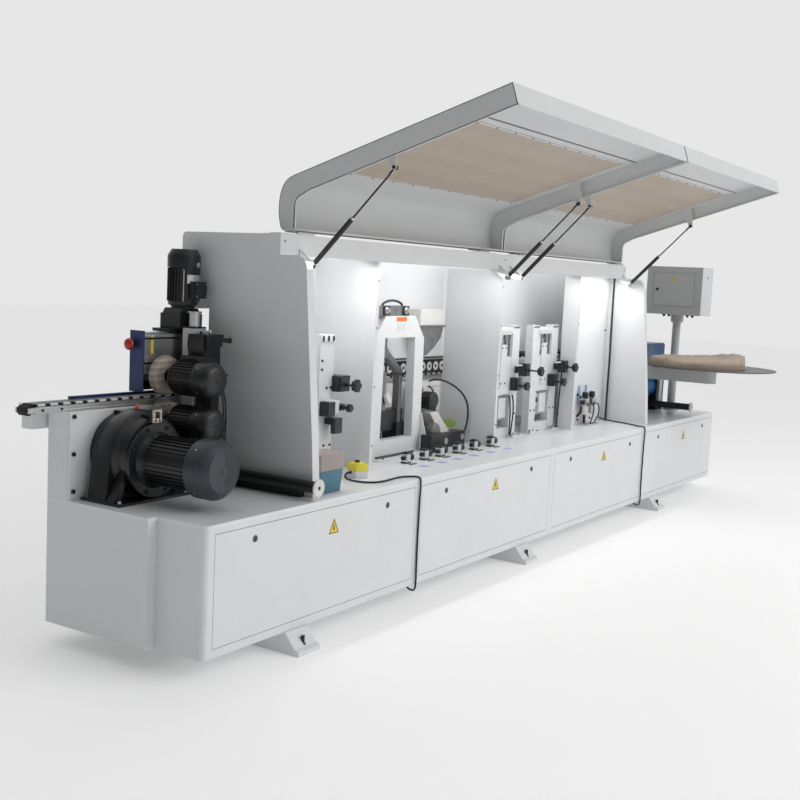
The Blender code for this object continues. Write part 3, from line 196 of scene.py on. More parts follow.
WHITE = surface("paint_white", (0.735, 0.745, 0.755), 0.38, vary=0.025, dust=(0.55, 0.54, 0.52),
        dust_amount=0.1)
DECK_WHITE = surface("paint_deck", (0.76, 0.775, 0.79), 0.3, vary=0.03, dust=(0.55, 0.54, 0.52),
        dust_amount=0.16)
# Darker copy of the white paint: painted shade, used on the hoods and on plates and faces that are seen in
# shade.
WHITE_IN_SHADE = surface("paint_white_in_shade", (0.62, 0.63, 0.635), 0.4, vary=0.03)
BOX_GREY = surface("paint_box", (0.5, 0.51, 0.515), 0.42, vary=0.03)
BLACK = surface("paint_black", (0.011, 0.012, 0.014), 0.36, vary=0.35, peel=0.25, peel_scale=260.0,
                dust=(0.05, 0.05, 0.05), dust_amount=0.5)
DARK = surface("cover_dark", (0.03, 0.034, 0.045), 0.38, vary=0.2, peel=0.2, dust=(0.09, 0.09, 0.1),
        dust_amount=0.4)
PLASTIC = surface("plastic_black", (0.012, 0.012, 0.013), 0.46, vary=0.3, peel=0.3, peel_scale=700.0)
RUBBER = surface("rubber_black", (0.018, 0.018, 0.019), 0.82, vary=0.3, peel=0.5, peel_scale=500.0,
                 dust=(0.1, 0.095, 0.09), dust_amount=0.5)
NAVY = surface("paint_navy", (0.012, 0.04, 0.15), 0.36, vary=0.1)
NAVY_BLUE = surface("paint_dark_blue", (0.02, 0.075, 0.2), 0.38, vary=0.08)
BLUE = surface("paint_blue", (0.02, 0.165, 0.42), 0.34, vary=0.12)
STEEL = surface("steel", (0.56, 0.565, 0.57), 0.3, 1.0, vary=0.12, patch=30.0, spread=0.12, peel=0.15,
                peel_scale=300.0, stretch=(1.0, 1.0, 12.0))
ALUMINIUM = surface("aluminium", (0.63, 0.635, 0.645), 0.36, 1.0, vary=0.08, patch=24.0, spread=0.1,
        peel=0.12, peel_scale=240.0, stretch=(0.3, 8.0, 8.0))
ZINC = surface("zinc_screw", (0.12, 0.12, 0.125), 0.34, 0.9, vary=0.3, patch=120.0)
NYLON = surface("nylon_white", (0.7, 0.69, 0.66), 0.52, vary=0.1, patch=40.0, dust=(0.3, 0.28, 0.25),
        dust_amount=0.5)
CAST = surface("cast_grey", (0.2, 0.2, 0.205), 0.42, 0.35, vary=0.25, patch=26.0, peel=0.3)
GREY_PLASTIC = surface("plastic_grey", (0.36, 0.34, 0.325), 0.5, vary=0.08)
TAUPE = surface("plastic_taupe", (0.335, 0.295, 0.275), 0.5, vary=0.06)
TEAL = surface("plastic_teal", (0.055, 0.165, 0.225), 0.44, vary=0.12)
YELLOW = surface("plastic_yellow", (0.78, 0.66, 0.045), 0.42, vary=0.06)
PALE_GREY = surface("plastic_pale", (0.66, 0.67, 0.68), 0.48, vary=0.04)
RED = surface("plastic_red", (0.52, 0.022, 0.012), 0.3, vary=0.12, coat=0.3)
ORANGE = surface("plug_orange", (0.75, 0.16, 0.02), 0.4, vary=0.1)
GREEN = surface("label_green", (0.5, 0.72, 0.2), 0.55, vary=0.05)
SIGN = surface("sign_yellow", (0.82, 0.6, 0.03), 0.45, vary=0.06)
INK = surface("sign_black", (0.02, 0.02, 0.02), 0.55, vary=0.2)
LABEL_BLUE = surface("label_blue", (0.36, 0.42, 0.7), 0.55, vary=0.08)
DISC = surface("disc_grey", (0.105, 0.11, 0.115), 0.42, vary=0.1, patch=9.0, dust=(0.25, 0.24, 0.22),
        dust_amount=0.35)
CABLE = surface("cable_black", (0.014, 0.014, 0.015), 0.55, vary=0.2, peel=0.2, peel_scale=900.0)
CLEAR_BLUE = surface("hose_blue", (0.28, 0.45, 0.72), 0.35, vary=0.08)
COTTON = ringed("cotton_sewn", (0.6, 0.53, 0.46), 0.95, 60.0, (0.2, 8.0, 0.2), 1.0, 0.004)
KRAFT = ringed("edging_layers", (0.52, 0.42, 0.335), 0.62, 90.0, (0.3, 0.3, 5.0), 0.35, 0.0008, vary=0.12)
PAPER_EDGE = surface("paper_edge", (0.38, 0.31, 0.25), 0.7, vary=0.15, patch=18.0)
FILM = ringed("film_brown", (0.47, 0.39, 0.315), 0.5, 3.0, (2.0, 2.0, 2.0), 0.12, 0.002, vary=0.06)
LED = glowing("lamp_tube", (1.0, 1.0, 1.0), 4.0)


# ------------------------------------------------------------------ shapes
class Shape:
    """Collects the faces of one piece; each new face gets the current look."""

    def __init__(self, look=0):
        self.bm = bmesh.new()
        self.look = look

    def mark(self, count):
        """Give the current look to all faces made since the count was taken."""
        self.bm.faces.ensure_lookup_table()
        for face in self.bm.faces[count:]:
            face.material_index = self.look

    def box(self, x, y, z):
        """Block given by its spans along the three axes."""
        centre = Vector((x[0] + x[1], y[0] + y[1], z[0] + z[1])) * 0.5
        self.block(Matrix.Identity(4), centre, (x[1] - x[0], y[1] - y[0], z[1] - z[0]))

    def block(self, turn, centre, size):
        """Block of a given size about a centre, all of it moved by a matrix."""
        count = len(self.bm.faces)
        matrix = turn @ Matrix.Translation(Vector(centre)) @ Matrix.Diagonal((*size, 1.0))
        bmesh.ops.create_cube(self.bm, size=1.0, matrix=matrix)
        self.mark(count)

    def bridge(self, rings):
        """Faces between neighbouring rings of points."""
        for low, high in zip(rings, rings[1:]):
            for k in range(len(low)):
                n = (k + 1) % len(low)
                self.bm.faces.new((low[k], low[n], high[n], high[k]))

    def prism(self, outline, axis, span):
        """Outline drawn across an axis and carried along a span of it."""
        count = len(self.bm.faces)
        order = {"X": lambda p, a: (a, p[0], p[1]), "Y": lambda p, a: (p[0], a, p[1]),
                 "Z": lambda p, a: (p[0], p[1], a)}[axis]
        rings = [[self.bm.verts.new(order(p, a)) for p in outline] for a in span]
        self.bm.faces.new(rings[0])
        self.bm.faces.new(list(reversed(rings[1])))
        for i in range(len(outline)):
            j = (i + 1) % len(outline)
            self.bm.faces.new((rings[0][j], rings[0][i], rings[1][i], rings[1][j]))
        self.mark(count)

    def rod(self, start, end, radius, sides=24):
        """Round bar between two points."""
        count = len(self.bm.faces)
        start, end = Vector(start), Vector(end)
        along = end - start
        turn = along.to_track_quat("Z", "Y").to_matrix().to_4x4()
        bmesh.ops.create_cone(self.bm, cap_ends=True, segments=sides, radius1=radius, radius2=radius,
                              depth=along.length, matrix=Matrix.Translation((start + end) * 0.5) @ turn)
        self.mark(count)

    def turned(self, start, direction, profile, sides=48):
        """Turned form: each point of the profile is a distance along the axis and a radius."""
        count = len(self.bm.faces)
        axis = Vector(direction).normalized()
        out = axis.orthogonal().normalized()
        out2 = axis.cross(out)
        start = Vector(start)
        rings = []
        for along, radius in profile:
            centre = start + axis * along
            if radius <= 1e-9:
                rings.append([self.bm.verts.new(centre)])
                continue
            rings.append([self.bm.verts.new(centre + (out * math.cos(a) + out2 * math.sin(a)) * radius)
                          for a in (2.0 * math.pi * k / sides for k in range(sides))])
        for low, high in zip(rings, rings[1:]):
            for k in range(sides):
                n = (k + 1) % sides
                corners = [low[k % len(low)], low[n % len(low)], high[n % len(high)], high[k % len(high)]]
                unique = list(dict.fromkeys(corners))
                if len(unique) > 2:
                    self.bm.faces.new(unique)
        for ring in (rings[0], rings[-1]):
            if len(ring) > 2:
                self.bm.faces.new(ring)
        self.mark(count)

    def solid(self, start, direction, profile, sides=48):
        """Turned form closed by a flat disc at both ends."""
        self.turned(start, direction, ((profile[0][0], 0.0), *profile, (profile[-1][0], 0.0)), sides)

    def tube(self, points, radius, sides=10):
        """Round bar swept along a line of points, closed at both ends."""
        count = len(self.bm.faces)
        pts = [Vector(p) for p in points]
        rings = []
        side = None
        for i, point in enumerate(pts):
            along = (pts[min(i + 1, len(pts) - 1)] - pts[max(i - 1, 0)]).normalized()
            if side is None:
                side = along.orthogonal().normalized()
            side = (side - along * side.dot(along)).normalized()
            up = along.cross(side)
            rings.append([self.bm.verts.new(point + (side * math.cos(a) + up * math.sin(a)) * radius)
                          for a in (2.0 * math.pi * k / sides for k in range(sides))])
        self.bridge(rings)
        self.bm.faces.new(list(reversed(rings[0])))
        self.bm.faces.new(rings[-1])
        self.mark(count)

    def screw(self, centre, direction, radius, height=None, sides=20):
        """Cap screw head with its hexagon socket."""
        tall = radius * 0.9 if height is None else height
        profile = ((0.0, radius), (tall * 0.8, radius), (tall, radius * 0.82), (tall, radius * 0.5),
                   (tall * 0.45, radius * 0.45), (tall * 0.45, 0.0))
        self.turned(centre, direction, profile, sides)

    def done(self, name, body, looks, stands_for=(), bevel=0.0, angle=35.0):
        """Finish the piece: mesh, looks, place in the row frame, body and the CAD node it stands for."""
        bmesh.ops.recalc_face_normals(self.bm, faces=self.bm.faces)
        mesh = bpy.data.meshes.new(name)
        self.bm.to_mesh(mesh)
        self.bm.free()
        for look in looks:
            mesh.materials.append(look)
        mesh.shade_smooth()
        mesh.set_sharp_from_angle(angle=math.radians(angle))
        made = bpy.data.objects.new(name, mesh)
        bpy.context.scene.collection.objects.link(made)
        made.location = SHIFT
        if bevel > 0.0:
            soften(made, bevel)
        bpy.context.view_layer.update()
        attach(made, body)
        if stands_for:
            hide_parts(*stands_for)


def soften(owner, width, segments=2):
    """Rounded edges, as a modifier."""
    step = owner.modifiers.new("edge", "BEVEL")
    step.width = width
    step.segments = segments
    step.limit_method = "ANGLE"
    step.angle_limit = math.radians(38.0)
    step.harden_normals = False


def curve_points(route, steps=6):
    """Catmull-Rom curve through the route's points."""
    pts = [Vector(p) for p in route]
    pts = [pts[0] * 2.0 - pts[1]] + pts + [pts[-1] * 2.0 - pts[-2]]
    path = []
    for i in range(1, len(pts) - 2):
        a, b, c, d = pts[i - 1], pts[i], pts[i + 1], pts[i + 2]
        for k in range(steps):
            t = k / steps
            path.append(0.5 * ((2.0 * b) + (c - a) * t + (2.0 * a - 5.0 * b + 4.0 * c - d) * t * t
                               + (3.0 * b - a - 3.0 * c + d) * t * t * t))
    path.append(pts[-2])
    return path


# ------------------------------------------------------------------ cables
CABLES = {
    "cable_left": (0.0045, 3, (
        (1.206, 0.2333, 0.526), (1.197, 0.2362, 0.5255), (1.18, 0.238, 0.521),
        (1.158, 0.228, 0.513), (1.142, 0.205, 0.508), (1.133, 0.17, 0.5056),
        (1.132, 0.133, 0.5052), (1.144, 0.1, 0.5052), (1.17, 0.076, 0.5052),
        (1.21, 0.064, 0.5052), (1.27, 0.064, 0.5052), (1.33, 0.07, 0.5052),
        (1.385, 0.068, 0.5052), (1.42, 0.045, 0.5055), (1.4315, 0.008, 0.507),
        (1.4315, -0.0085, 0.49),
        (1.4315, -0.0075, 0.4), (1.4315, -0.0065, 0.25), (1.4315, -0.007, 0.1),
        (1.4315, -0.008, 0.01), (1.4315, -0.001, -0.026), (1.4315, 0.022, -0.03),
        (1.4315, 0.04, -0.018), (1.4315, 0.042, -0.0006))),
    "cable_right": (0.0045, 3, (
        (4.405, 0.3845, 0.516), (4.405, 0.375, 0.5158), (4.402, 0.34, 0.51), (4.395, 0.27, 0.5052),
        (4.37, 0.19, 0.5052), (4.33, 0.11, 0.5052), (4.285, 0.045, 0.5055), (4.2715, 0.008, 0.507),
        (4.2715, -0.0085, 0.49), (4.2715, -0.0075, 0.4), (4.2715, -0.0065, 0.25),
        (4.2715, -0.007, 0.1), (4.2715, -0.008, 0.01), (4.2715, -0.001, -0.026),
        (4.2715, 0.022, -0.03), (4.2715, 0.04, -0.018), (4.2715, 0.042, -0.0006))),
    "cable_drop": (0.007, 4, (
        (4.425, 0.345, 1.4904), (4.4245, 0.345, 1.43), (4.421, 0.344, 1.3), (4.418, 0.342, 1.12),
        (4.42, 0.341, 0.95), (4.424, 0.344, 0.78), (4.428, 0.346, 0.64), (4.429, 0.347, 0.5008))),
}


def round_curve(name, points, radius, look):
    """Round curve through the points, riding the frame."""
    data = bpy.data.curves.new(name, "CURVE")
    data.dimensions = "3D"
    spline = data.splines.new("POLY")
    spline.points.add(len(points) - 1)
    for target, point in zip(spline.points, points):
        target.co = (*(point + SHIFT), 1.0)
    data.bevel_depth = radius
    data.bevel_resolution = 4
    data.use_fill_caps = True
    data.materials.append(look)
    spline.use_smooth = True
    made = bpy.data.objects.new(name, data)
    bpy.context.scene.collection.objects.link(made)
    bpy.context.view_layer.update()
    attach(made, "frame")
    return made


def make_cables():
    """The three cables that are CAD nodes of their own."""
    for name, (radius, steps, route) in CABLES.items():
        points = curve_points(route, steps)
        made = round_curve(name + "_sheath", points, radius, CABLE)
        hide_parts(name)


def hose(name, route, radius, look, steps=5):
    """A free hose or lead, as a round curve that rides the frame."""
    points = curve_points(route, steps)
    made = round_curve(name, points, radius, look)


# ------------------------------------------------------------------ hoods
HOODS = ((0.807, 2.676), (2.684, 4.42))
EARS = ((0.8325, 2.6085), (2.7475, 4.3935))
HINGES = ((0.87, 2.433), (2.9, 4.33))
HINGE_AXIS = (0.28, 1.5865)
STRUTS = (0.845, 2.6, 2.76, 4.385)
STRUT_FOOT, STRUT_HEAD = (0.22, 1.452), (-0.177, 1.854)
SLOPE = math.radians(18.0)
RISE = Vector((-math.cos(SLOPE), math.sin(SLOPE)))
DOWN = Vector((-math.sin(SLOPE), -math.cos(SLOPE)))
CORNER = Vector((0.306, 1.826))
FOLD = ((0.297, 1.5925), (0.345, 1.5925), (0.356, 1.5955), (0.365, 1.603), (0.371, 1.614), (0.376, 1.632),
        (0.38, 1.652), (0.382, 1.676), (0.382, 1.7), (0.381, 1.718), (0.379, 1.735), (0.3758, 1.75),
        (0.371, 1.765), (0.365, 1.779), (0.357, 1.792), (0.347, 1.803), (0.335, 1.812), (0.321, 1.82))


def slope_point(along, depth=0.0):
    """Point on the long panel: distance from the rear corner and depth under the outer face."""
    return CORNER + RISE * along + DOWN * depth


def parallel(points, distance):
    """Line beside an open path, on its inner side."""
    moved = []
    for i, point in enumerate(points):
        before = (point - points[i - 1]).normalized() if i > 0 else None
        after = (points[i + 1] - point).normalized() if i < len(points) - 1 else None
        before = before or after
        after = after or before
        normal = Vector((-before.y - after.y, before.x + after.x)).normalized()
        scale = 1.0 / max(0.5, math.sqrt(0.5 * (1.0 + before.dot(after))))
        moved.append(point + normal * distance * scale)
    return moved


def strip(shape, outer, inner, span):
    """Sheet between two parallel lines of the section, closed all round."""
    outline = [tuple(p) for p in outer] + [tuple(p) for p in reversed(inner)]
    shape.prism(outline, "X", span)


def hood_window_x(number):
    """Left and right edge of a hood's window."""
    left, right = HOODS[number - 1]
    return (left + 0.06, right - 0.09) if number == 1 else (left + 0.09, right - 0.06)


def make_hood(number):
    """Lifting hood: folded skin with deep end flanges, window frame and strut ears."""
    left, right = HOODS[number - 1]
    win_left, win_right = hood_window_x(number)
    outer = [Vector(p) for p in FOLD] + [CORNER, slope_point(0.11)]
    skin = parallel(outer, 0.003)
    shape = Shape(0)
    strip(shape, outer, skin, (left, right))
    for low, high, span in ((0.1101, 0.7599, (left, win_left - 0.0002)),
                            (0.1101, 0.7599, (win_right + 0.0002, right)), (0.76, 1.06, (left, right))):
        strip(shape, [slope_point(low), slope_point(high)], [slope_point(low, 0.003),
                slope_point(high, 0.003)], span)
    for start, turn_in in ((left, 1.0), (right, -1.0)):
        make_end_flange(shape, start, turn_in)
    lip = [slope_point(1.057, 0.003), slope_point(1.06, 0.003), slope_point(1.06, 0.085),
            slope_point(1.057, 0.085)]
    shape.prism([tuple(p) for p in lip], "X", (left, right))
    shape.box((left + 0.01, right - 0.01), (0.297, 0.3), (1.5925, 1.6045))
    for offset in (0.106, 0.7525):
        rail = [slope_point(offset, 0.0035), slope_point(offset + 0.011, 0.0035),
                slope_point(offset + 0.011, 0.0065), slope_point(offset, 0.0065)]
        shape.prism([tuple(p) for p in rail], "X", (win_left - 0.012, win_right + 0.012))
    for ear in EARS[number - 1]:
        make_ear(shape, ear)
    # The skin takes the darker copy of the white paint: painted shade over the whole hood.
    shape.done(f"hood_skin_{number}", f"hood_{number}", [WHITE_IN_SHADE], (f"hood_shell_{number}",),
            angle=38.0)


def make_end_flange(shape, start, turn_in):
    """Flat band along the end of the hood with a narrow turned-in edge."""
    thick = (start, start + 0.003 * turn_in)
    lip = (start, start + 0.014 * turn_in)
    outer = [Vector(p) for p in FOLD[3:]] + [CORNER, slope_point(1.06)]
    inner = [Vector((0.297, 1.606)), Vector((0.297, 1.645)), Vector((0.297, 1.69)), Vector((0.2955, 1.706)),
            Vector((0.2915, 1.7195)), Vector((0.284, 1.7305)), Vector((0.273, 1.7385)),
            slope_point(0.06, 0.085), slope_point(1.06, 0.085)]
    outline = [tuple(p) for p in outer] + [tuple(p) for p in reversed(inner)]
    shape.prism(outline, "X", tuple(sorted(thick)))
    edge = parallel(inner, -0.003)
    strip(shape, inner, edge, tuple(sorted(lip)))


def make_ear(shape, start):
    """Bracket under the hood for the head of a strut."""
    head = Vector(STRUT_HEAD)
    hang = -DOWN
    depth = (head - CORNER).dot(DOWN)
    top = head + hang * (depth - 0.0025)
    ear = [top - RISE * 0.036, top + RISE * 0.036, head + RISE * 0.012, head - hang * 0.009 + RISE * 0.007,
           head - hang * 0.009 - RISE * 0.007, head - RISE * 0.012]
    shape.prism([tuple(p) for p in reversed(ear)], "X", (start, start + 0.004))


def make_hood_window(number):
    """Window sheet behind its brown film, wrinkled a little, with screws along both long edges."""
    left, right = hood_window_x(number)
    shape = Shape(0)
    columns, rows = 60, 16
    bm = shape.bm
    grids = []
    for depth, rough in ((0.0004, 0.0), (0.0034, 1.0)):
        grid = []
        for i in range(columns + 1):
            x = left + 0.0004 + (right - left - 0.0008) * i / columns
            row = []
            for j in range(rows + 1):
                along = 0.1104 + 0.6492 * j / rows
                edge = min(1.0, 4.0 * min(i, columns - i) / columns, 4.0 * min(j, rows - j) / rows)
                wave = noise.noise(Vector((x * 1.7, along * 6.0, number * 9.0))) * 0.0016 * edge * rough
                point = slope_point(along, depth + max(-0.0012, wave))
                row.append(bm.verts.new((x, point.x, point.y)))
            grid.append(row)
        grids.append(grid)
    for grid in grids:
        for i in range(columns):
            for j in range(rows):
                bm.faces.new((grid[i][j], grid[i + 1][j], grid[i + 1][j + 1], grid[i][j + 1]))
    top, low = grids
    for i in range(columns):
        bm.faces.new((top[i][0], top[i + 1][0], low[i + 1][0], low[i][0]))
        bm.faces.new((top[i][rows], top[i + 1][rows], low[i + 1][rows], low[i][rows]))
    for j in range(rows):
        bm.faces.new((top[0][j], top[0][j + 1], low[0][j + 1], low[0][j]))
        bm.faces.new((top[columns][j], top[columns][j + 1], low[columns][j + 1], low[columns][j]))
    shape.mark(0)
    shape.done(f"film_{number}", f"hood_{number}", [FILM], (f"hood_window_{number}",),
            angle=60.0)
    screws = Shape(0)
    count = 11
    for k in range(count):
        x = left + 0.03 + (right - left - 0.06) * k / (count - 1)
        for along in (0.1115, 0.758):
            place = slope_point(along, 0.0066)
            screws.turned((x, place.x, place.y), (0.0, DOWN.x, DOWN.y),
                    ((0.0, 0.005), (0.0014, 0.005), (0.0026, 0.003), (0.0026, 0.0)), 14)
            face = slope_point(along, -0.0001)
            screws.turned((x, face.x, face.y), (0.0, -DOWN.x, -DOWN.y),
                    ((0.0, 0.0058), (0.0012, 0.0052), (0.0022, 0.003), (0.0022, 0.0)), 14)
    screws.done(f"film_screws_{number}", f"hood_{number}", [ZINC])


def make_hood_trim(number):
    """Grooves, hinge pins and ball studs that ride the hood."""
    left, right = HOODS[number - 1]
    groove = Shape(0)
    for along in (0.8, 0.806):
        low, high = slope_point(along, 0.0031), slope_point(along + 0.003, 0.0031)
        deep, deep2 = slope_point(along, 0.004), slope_point(along + 0.003, 0.004)
        groove.prism([tuple(low), tuple(high), tuple(deep2), tuple(deep)], "X", (left + 0.02, right - 0.02))
    groove.done(f"hood_seam_{number}", f"hood_{number}", [BLACK])
    studs = Shape(0)
    for ear in EARS[number - 1]:
        side = 1.0 if ear < left + 0.1 else -1.0
        face = ear + (0.004 if side > 0 else 0.0)
        studs.look = 0
        studs.turned((face, *STRUT_HEAD), (side, 0.0, 0.0), ((0.0001, 0.003), (0.003, 0.003), (0.003, 0.0),
                ), 16)
        studs.look = 1
        studs.turned((face - side * 0.0041, *STRUT_HEAD), (-side, 0.0, 0.0),
                ((0.0, 0.007), (0.0045, 0.007), (0.005, 0.004), (0.008, 0.0035), (0.008, 0.0)), 16)
    studs.done(f"ball_studs_{number}", f"hood_{number}", [STEEL, PLASTIC])
    leaf = Shape(0)
    for x in HINGES[number - 1]:
        # Hinge leaves in the darker copy of the white paint: painted shade.
        leaf.look = 0
        leaf.box((x - 0.06, x + 0.06), (0.2965, 0.345), (1.5878, 1.5922))
        leaf.look = 1
        for turn in (-0.04, 0.0, 0.04):
            leaf.rod((x + turn - 0.0185, *HINGE_AXIS), (x + turn + 0.0185, *HINGE_AXIS), 0.0052, 16)
        leaf.box((x - 0.058, x + 0.058), (0.28, 0.2975), (1.588, 1.5905))
    leaf.done(f"hinge_leaf_{number}", f"hood_{number}", [WHITE_IN_SHADE, STEEL])


def strut_axis():
    """Direction and length of a strut from foot to head."""
    foot, head = Vector((0.0, *STRUT_FOOT)), Vector((0.0, *STRUT_HEAD))
    return (head - foot).normalized(), (head - foot).length


def make_struts():
    """Gas struts: a cylinder with its seal and label, and a rod with its end."""
    axis, length = strut_axis()
    for number, x in enumerate(STRUTS, start=1):
        pair = 1 if number < 3 else 2
        foot = Vector((x, *STRUT_FOOT))
        tube = Shape(0)
        tube.solid(foot, axis, ((0.016, 0.0085), (0.022, 0.011), (0.27, 0.011), (0.276, 0.01),
                (0.276, 0.0048), (0.24, 0.0048)), 28)
        tube.look = 1
        tube.turned(foot, axis, ((0.2765, 0.005), (0.2765, 0.01), (0.283, 0.0092), (0.285, 0.007),
                (0.285, 0.005)), 28)
        tube.look = 2 if number == 3 else 1
        tube.solid(foot, axis, ((-0.004, 0.0065), (0.018, 0.0065)), 20)
        tube.look = 2
        tube.rod(foot - Vector((0.008, 0, 0)), foot + Vector((0.008, 0, 0)), 0.0125, 24)
        tube.look = 3
        tube.turned(foot, axis, ((0.085, 0.011), (0.085, 0.01115), (0.15, 0.01115), (0.15, 0.011)), 28)
        tube.done(f"strut_body_{number}", f"strut_tubes_{pair}", [BLACK, STEEL, NYLON, ZINC],
                (f"strut_tube_{number}",))
        rod = Shape(0)
        head = foot + axis * length
        rod.rod(foot + axis * 0.2425, head - axis * 0.008, 0.004, 18)
        rod.look = 1
        rod.turned(foot, axis, ((length - 0.034, 0.0), (length - 0.034, 0.0062), (length - 0.008, 0.0062),
                (length - 0.008, 0.0)), 18)
        rod.rod(head - Vector((0.006, 0, 0)), head + Vector((0.006, 0, 0)), 0.0098, 20)
        rod.done(f"strut_stem_{number}", f"strut_rods_{pair}", [STEEL, PLASTIC], (f"strut_rod_{number}",))


def make_header_trim():
    """Hinge rail on the folded beam, hinge knuckles and screws."""
    rail = Shape(0)
    for start, end in ((0.7054, 0.93), (2.366, 2.588), (2.768, 2.99), (4.23, 4.449)):
        rail.box((start, end), (0.282, 0.34), (1.5782, 1.5812))
    rail.look = 1
    for x in HINGES[0] + HINGES[1]:
        for turn in (-0.059, -0.02, 0.02, 0.059):
            rail.rod((x + turn - 0.001, *HINGE_AXIS), (x + turn + 0.001, *HINGE_AXIS), 0.005, 14)
    rail.look = 2
    for x in (0.73, 2.68, 4.425):
        rail.screw((x, 0.2799, 1.548), FRONT, 0.0045, 0.0025, 14)
    rail.done("hinge_rail", "frame", [WHITE, STEEL, ZINC])


# ------------------------------------------------------------------ exit end
def make_lift_motor():
    """Worm gearbox and finned motor that lift the beam."""
    shape = Shape(0)
    low, x, y = 1.1453, 0.618, 0.738
    shape.box((x - 0.125, x + 0.06), (0.694, 0.792), (low, low + 0.0136))
    shape.box((x - 0.084, x + 0.05), (0.672, 0.788), (low + 0.0138, low + 0.078))
    shape.prism(((x - 0.078, low + 0.078), (x + 0.044, low + 0.078), (x + 0.03, low + 0.1),
            (x - 0.064, low + 0.1)), "Y", (0.678, 0.782))
    shape.box((x - 0.0165, x + 0.0165), (0.664, 0.6725), (low + 0.016, low + 0.092))
    for k in range(4):
        shape.box((x - 0.076 + 0.036 * k, x - 0.07 + 0.036 * k), (0.666, 0.6725),
                (low + 0.018, low + 0.076))
    shape.solid((x, y, low + 0.095), UP, ((0.0, 0.052), (0.014, 0.052), (0.018, 0.064), (0.026, 0.065),
            (0.034, 0.0655), (0.034, 0.063), (0.178, 0.063), (0.178, 0.071), (0.226, 0.071), (0.23, 0.07),
            (0.2545, 0.056), (0.256, 0.054)), 56)
    for k in range(28):
        angle = 2.0 * math.pi * k / 28
        if abs(math.sin(angle) + 1.0) < 0.22:
            continue
        fin = Matrix.Translation(Vector((x, y, 0))) @ Matrix.Rotation(angle, 4, "Z")
        shape.block(fin, (0.066, 0.0, low + 0.2), (0.008, 0.003, 0.142))
    shape.box((x - 0.03, x + 0.045), (0.6465, 0.69), (low + 0.144, low + 0.215))
    shape.box((x - 0.0265, x + 0.0415), (0.6405, 0.6462), (low + 0.1475, low + 0.2115))
    shape.look = 1
    for px, pz in ((x - 0.021, 0.154), (x + 0.036, 0.154), (x - 0.021, 0.205), (x + 0.036, 0.205)):
        shape.screw((px, 0.6404, low + pz), FRONT, 0.0032, 0.002, 12)
    for pz in (0.03, 0.052, 0.082):
        shape.screw((x - 0.005 + (0.006 if pz == 0.052 else 0.0), 0.6638, low + pz), FRONT, 0.0062, 0.003,
                14)
    shape.rod((x - 0.0535, y - 0.0515, low + 0.13), (x - 0.0535, y - 0.0515, low + 0.262), 0.0028, 12)
    shape.look = 2
    shape.turned((x - 0.0535, y - 0.0515, low + 0.262), UP, ((0.0, 0.0045), (0.004, 0.0045), (0.006, 0.002),
            (0.006, 0.0)), 14)
    curved_plate(shape, (x, y), 0.0722, math.radians(-125), math.radians(-60), low + 0.206, low + 0.243)
    shape.turned((x + 0.012, y - 0.07, low + 0.286), (0.17, -0.985, 0),
            ((0.0, 0.0105), (0.0022, 0.0105), (0.0022, 0.0085), (0.003, 0.0085), (0.003, 0.0)), 22)
    shape.done("lift_drive", "beam", [BLACK, STEEL, ALUMINIUM], ("lift_motor",),
            bevel=0.0012, angle=32.0)


def curved_plate(shape, centre, radius, start, end, low, high, steps=10):
    """Thin name plate wrapped on an upright cylinder."""
    inner, outer = [], []
    for k in range(steps + 1):
        angle = start + (end - start) * k / steps
        inner.append((centre[0] + (radius - 0.004) * math.cos(angle),
                centre[1] + (radius - 0.004) * math.sin(angle)))
        outer.append((centre[0] + radius * math.cos(angle), centre[1] + radius * math.sin(angle)))
    shape.prism(inner + outer[::-1], "Z", (low, high))


def make_estop():
    """Red mushroom button on its stem."""
    start = (0.35, 0.752, 1.094)
    shape = Shape(0)
    shape.solid(start, LEFT, ((0.0, 0.0088), (0.019, 0.0088)), 28)
    shape.look = 1
    shape.turned(start, LEFT, ((0.0195, 0.0), (0.0195, 0.0215), (0.0215, 0.0243), (0.0245, 0.025),
            (0.0285, 0.0247), (0.0325, 0.0228), (0.036, 0.0185), (0.0385, 0.0115), (0.0397, 0.0)), 40)
    shape.done("stop_mushroom", "estop", [PLASTIC, RED], ("estop_button",), angle=50.0)


def make_beam():
    """Extruded beam with T-slots on both faces, black strips of painted shade in the front slots, its dark
    blue end cap and the two slides.
    """
    shape = Shape(0)
    span = (0.3522, 5.42)
    face = ((0.69, 0.975), (0.69, 1.012), (0.697, 1.012), (0.697, 1.022), (0.69, 1.022), (0.69, 1.115),
            (0.697, 1.115), (0.697, 1.124), (0.69, 1.124), (0.69, 1.133), (0.702, 1.145), (0.729, 1.145),
            (0.729, 1.125), (0.702, 1.125), (0.702, 1.0), (0.729, 1.0), (0.729, 0.975))
    shape.prism(face, "X", span)
    shape.prism([(1.458 - y, z) for y, z in reversed(face)], "X", span)
    # Black strips deep in the two front T-slots: painted shade for the dark inside of the slots.
    shape.look = 1
    for z in (1.0125, 1.1155):
        shape.box((0.3525, 5.4195), (0.6962, 0.6969), (z, z + 0.0082))
    for x in (0.54, 4.6):
        shape.box((x, x + 0.075), (0.6605, 0.6898), (0.99, 1.14))
    shape.look = 2
    y0, y1, z0, z1 = 0.69, 0.77, 0.898, 1.152
    hy, hz, gap = 0.752, 1.094, 0.0105
    shape.box((0.35, 0.352), (y0, y1), (z0, z1))
    for ys, zs in (((y0, y1), (z0, hz - gap)), ((y0, y1), (hz + gap, z1)),
            ((y0, hy - gap), (hz - gap, hz + gap)), ((hy + gap, y1), (hz - gap, hz + gap))):
        shape.box((0.3465, 0.35), ys, zs)
    shape.look = 4
    shape.box((0.386, 0.402), (0.6894, 0.69), (1.058, 1.114))
    shape.box((0.386, 0.402), (0.6894, 0.69), (1.1245, 1.1325))
    shape.done("beam_extrusion", "beam", [ALUMINIUM, BLACK, NAVY, STEEL, YELLOW], ("pressure_beam",),
            bevel=0.0006, angle=30.0)


ROLLER_START, ROLLER_STEP, ROLLER_Z = 0.501, 0.069, 0.925


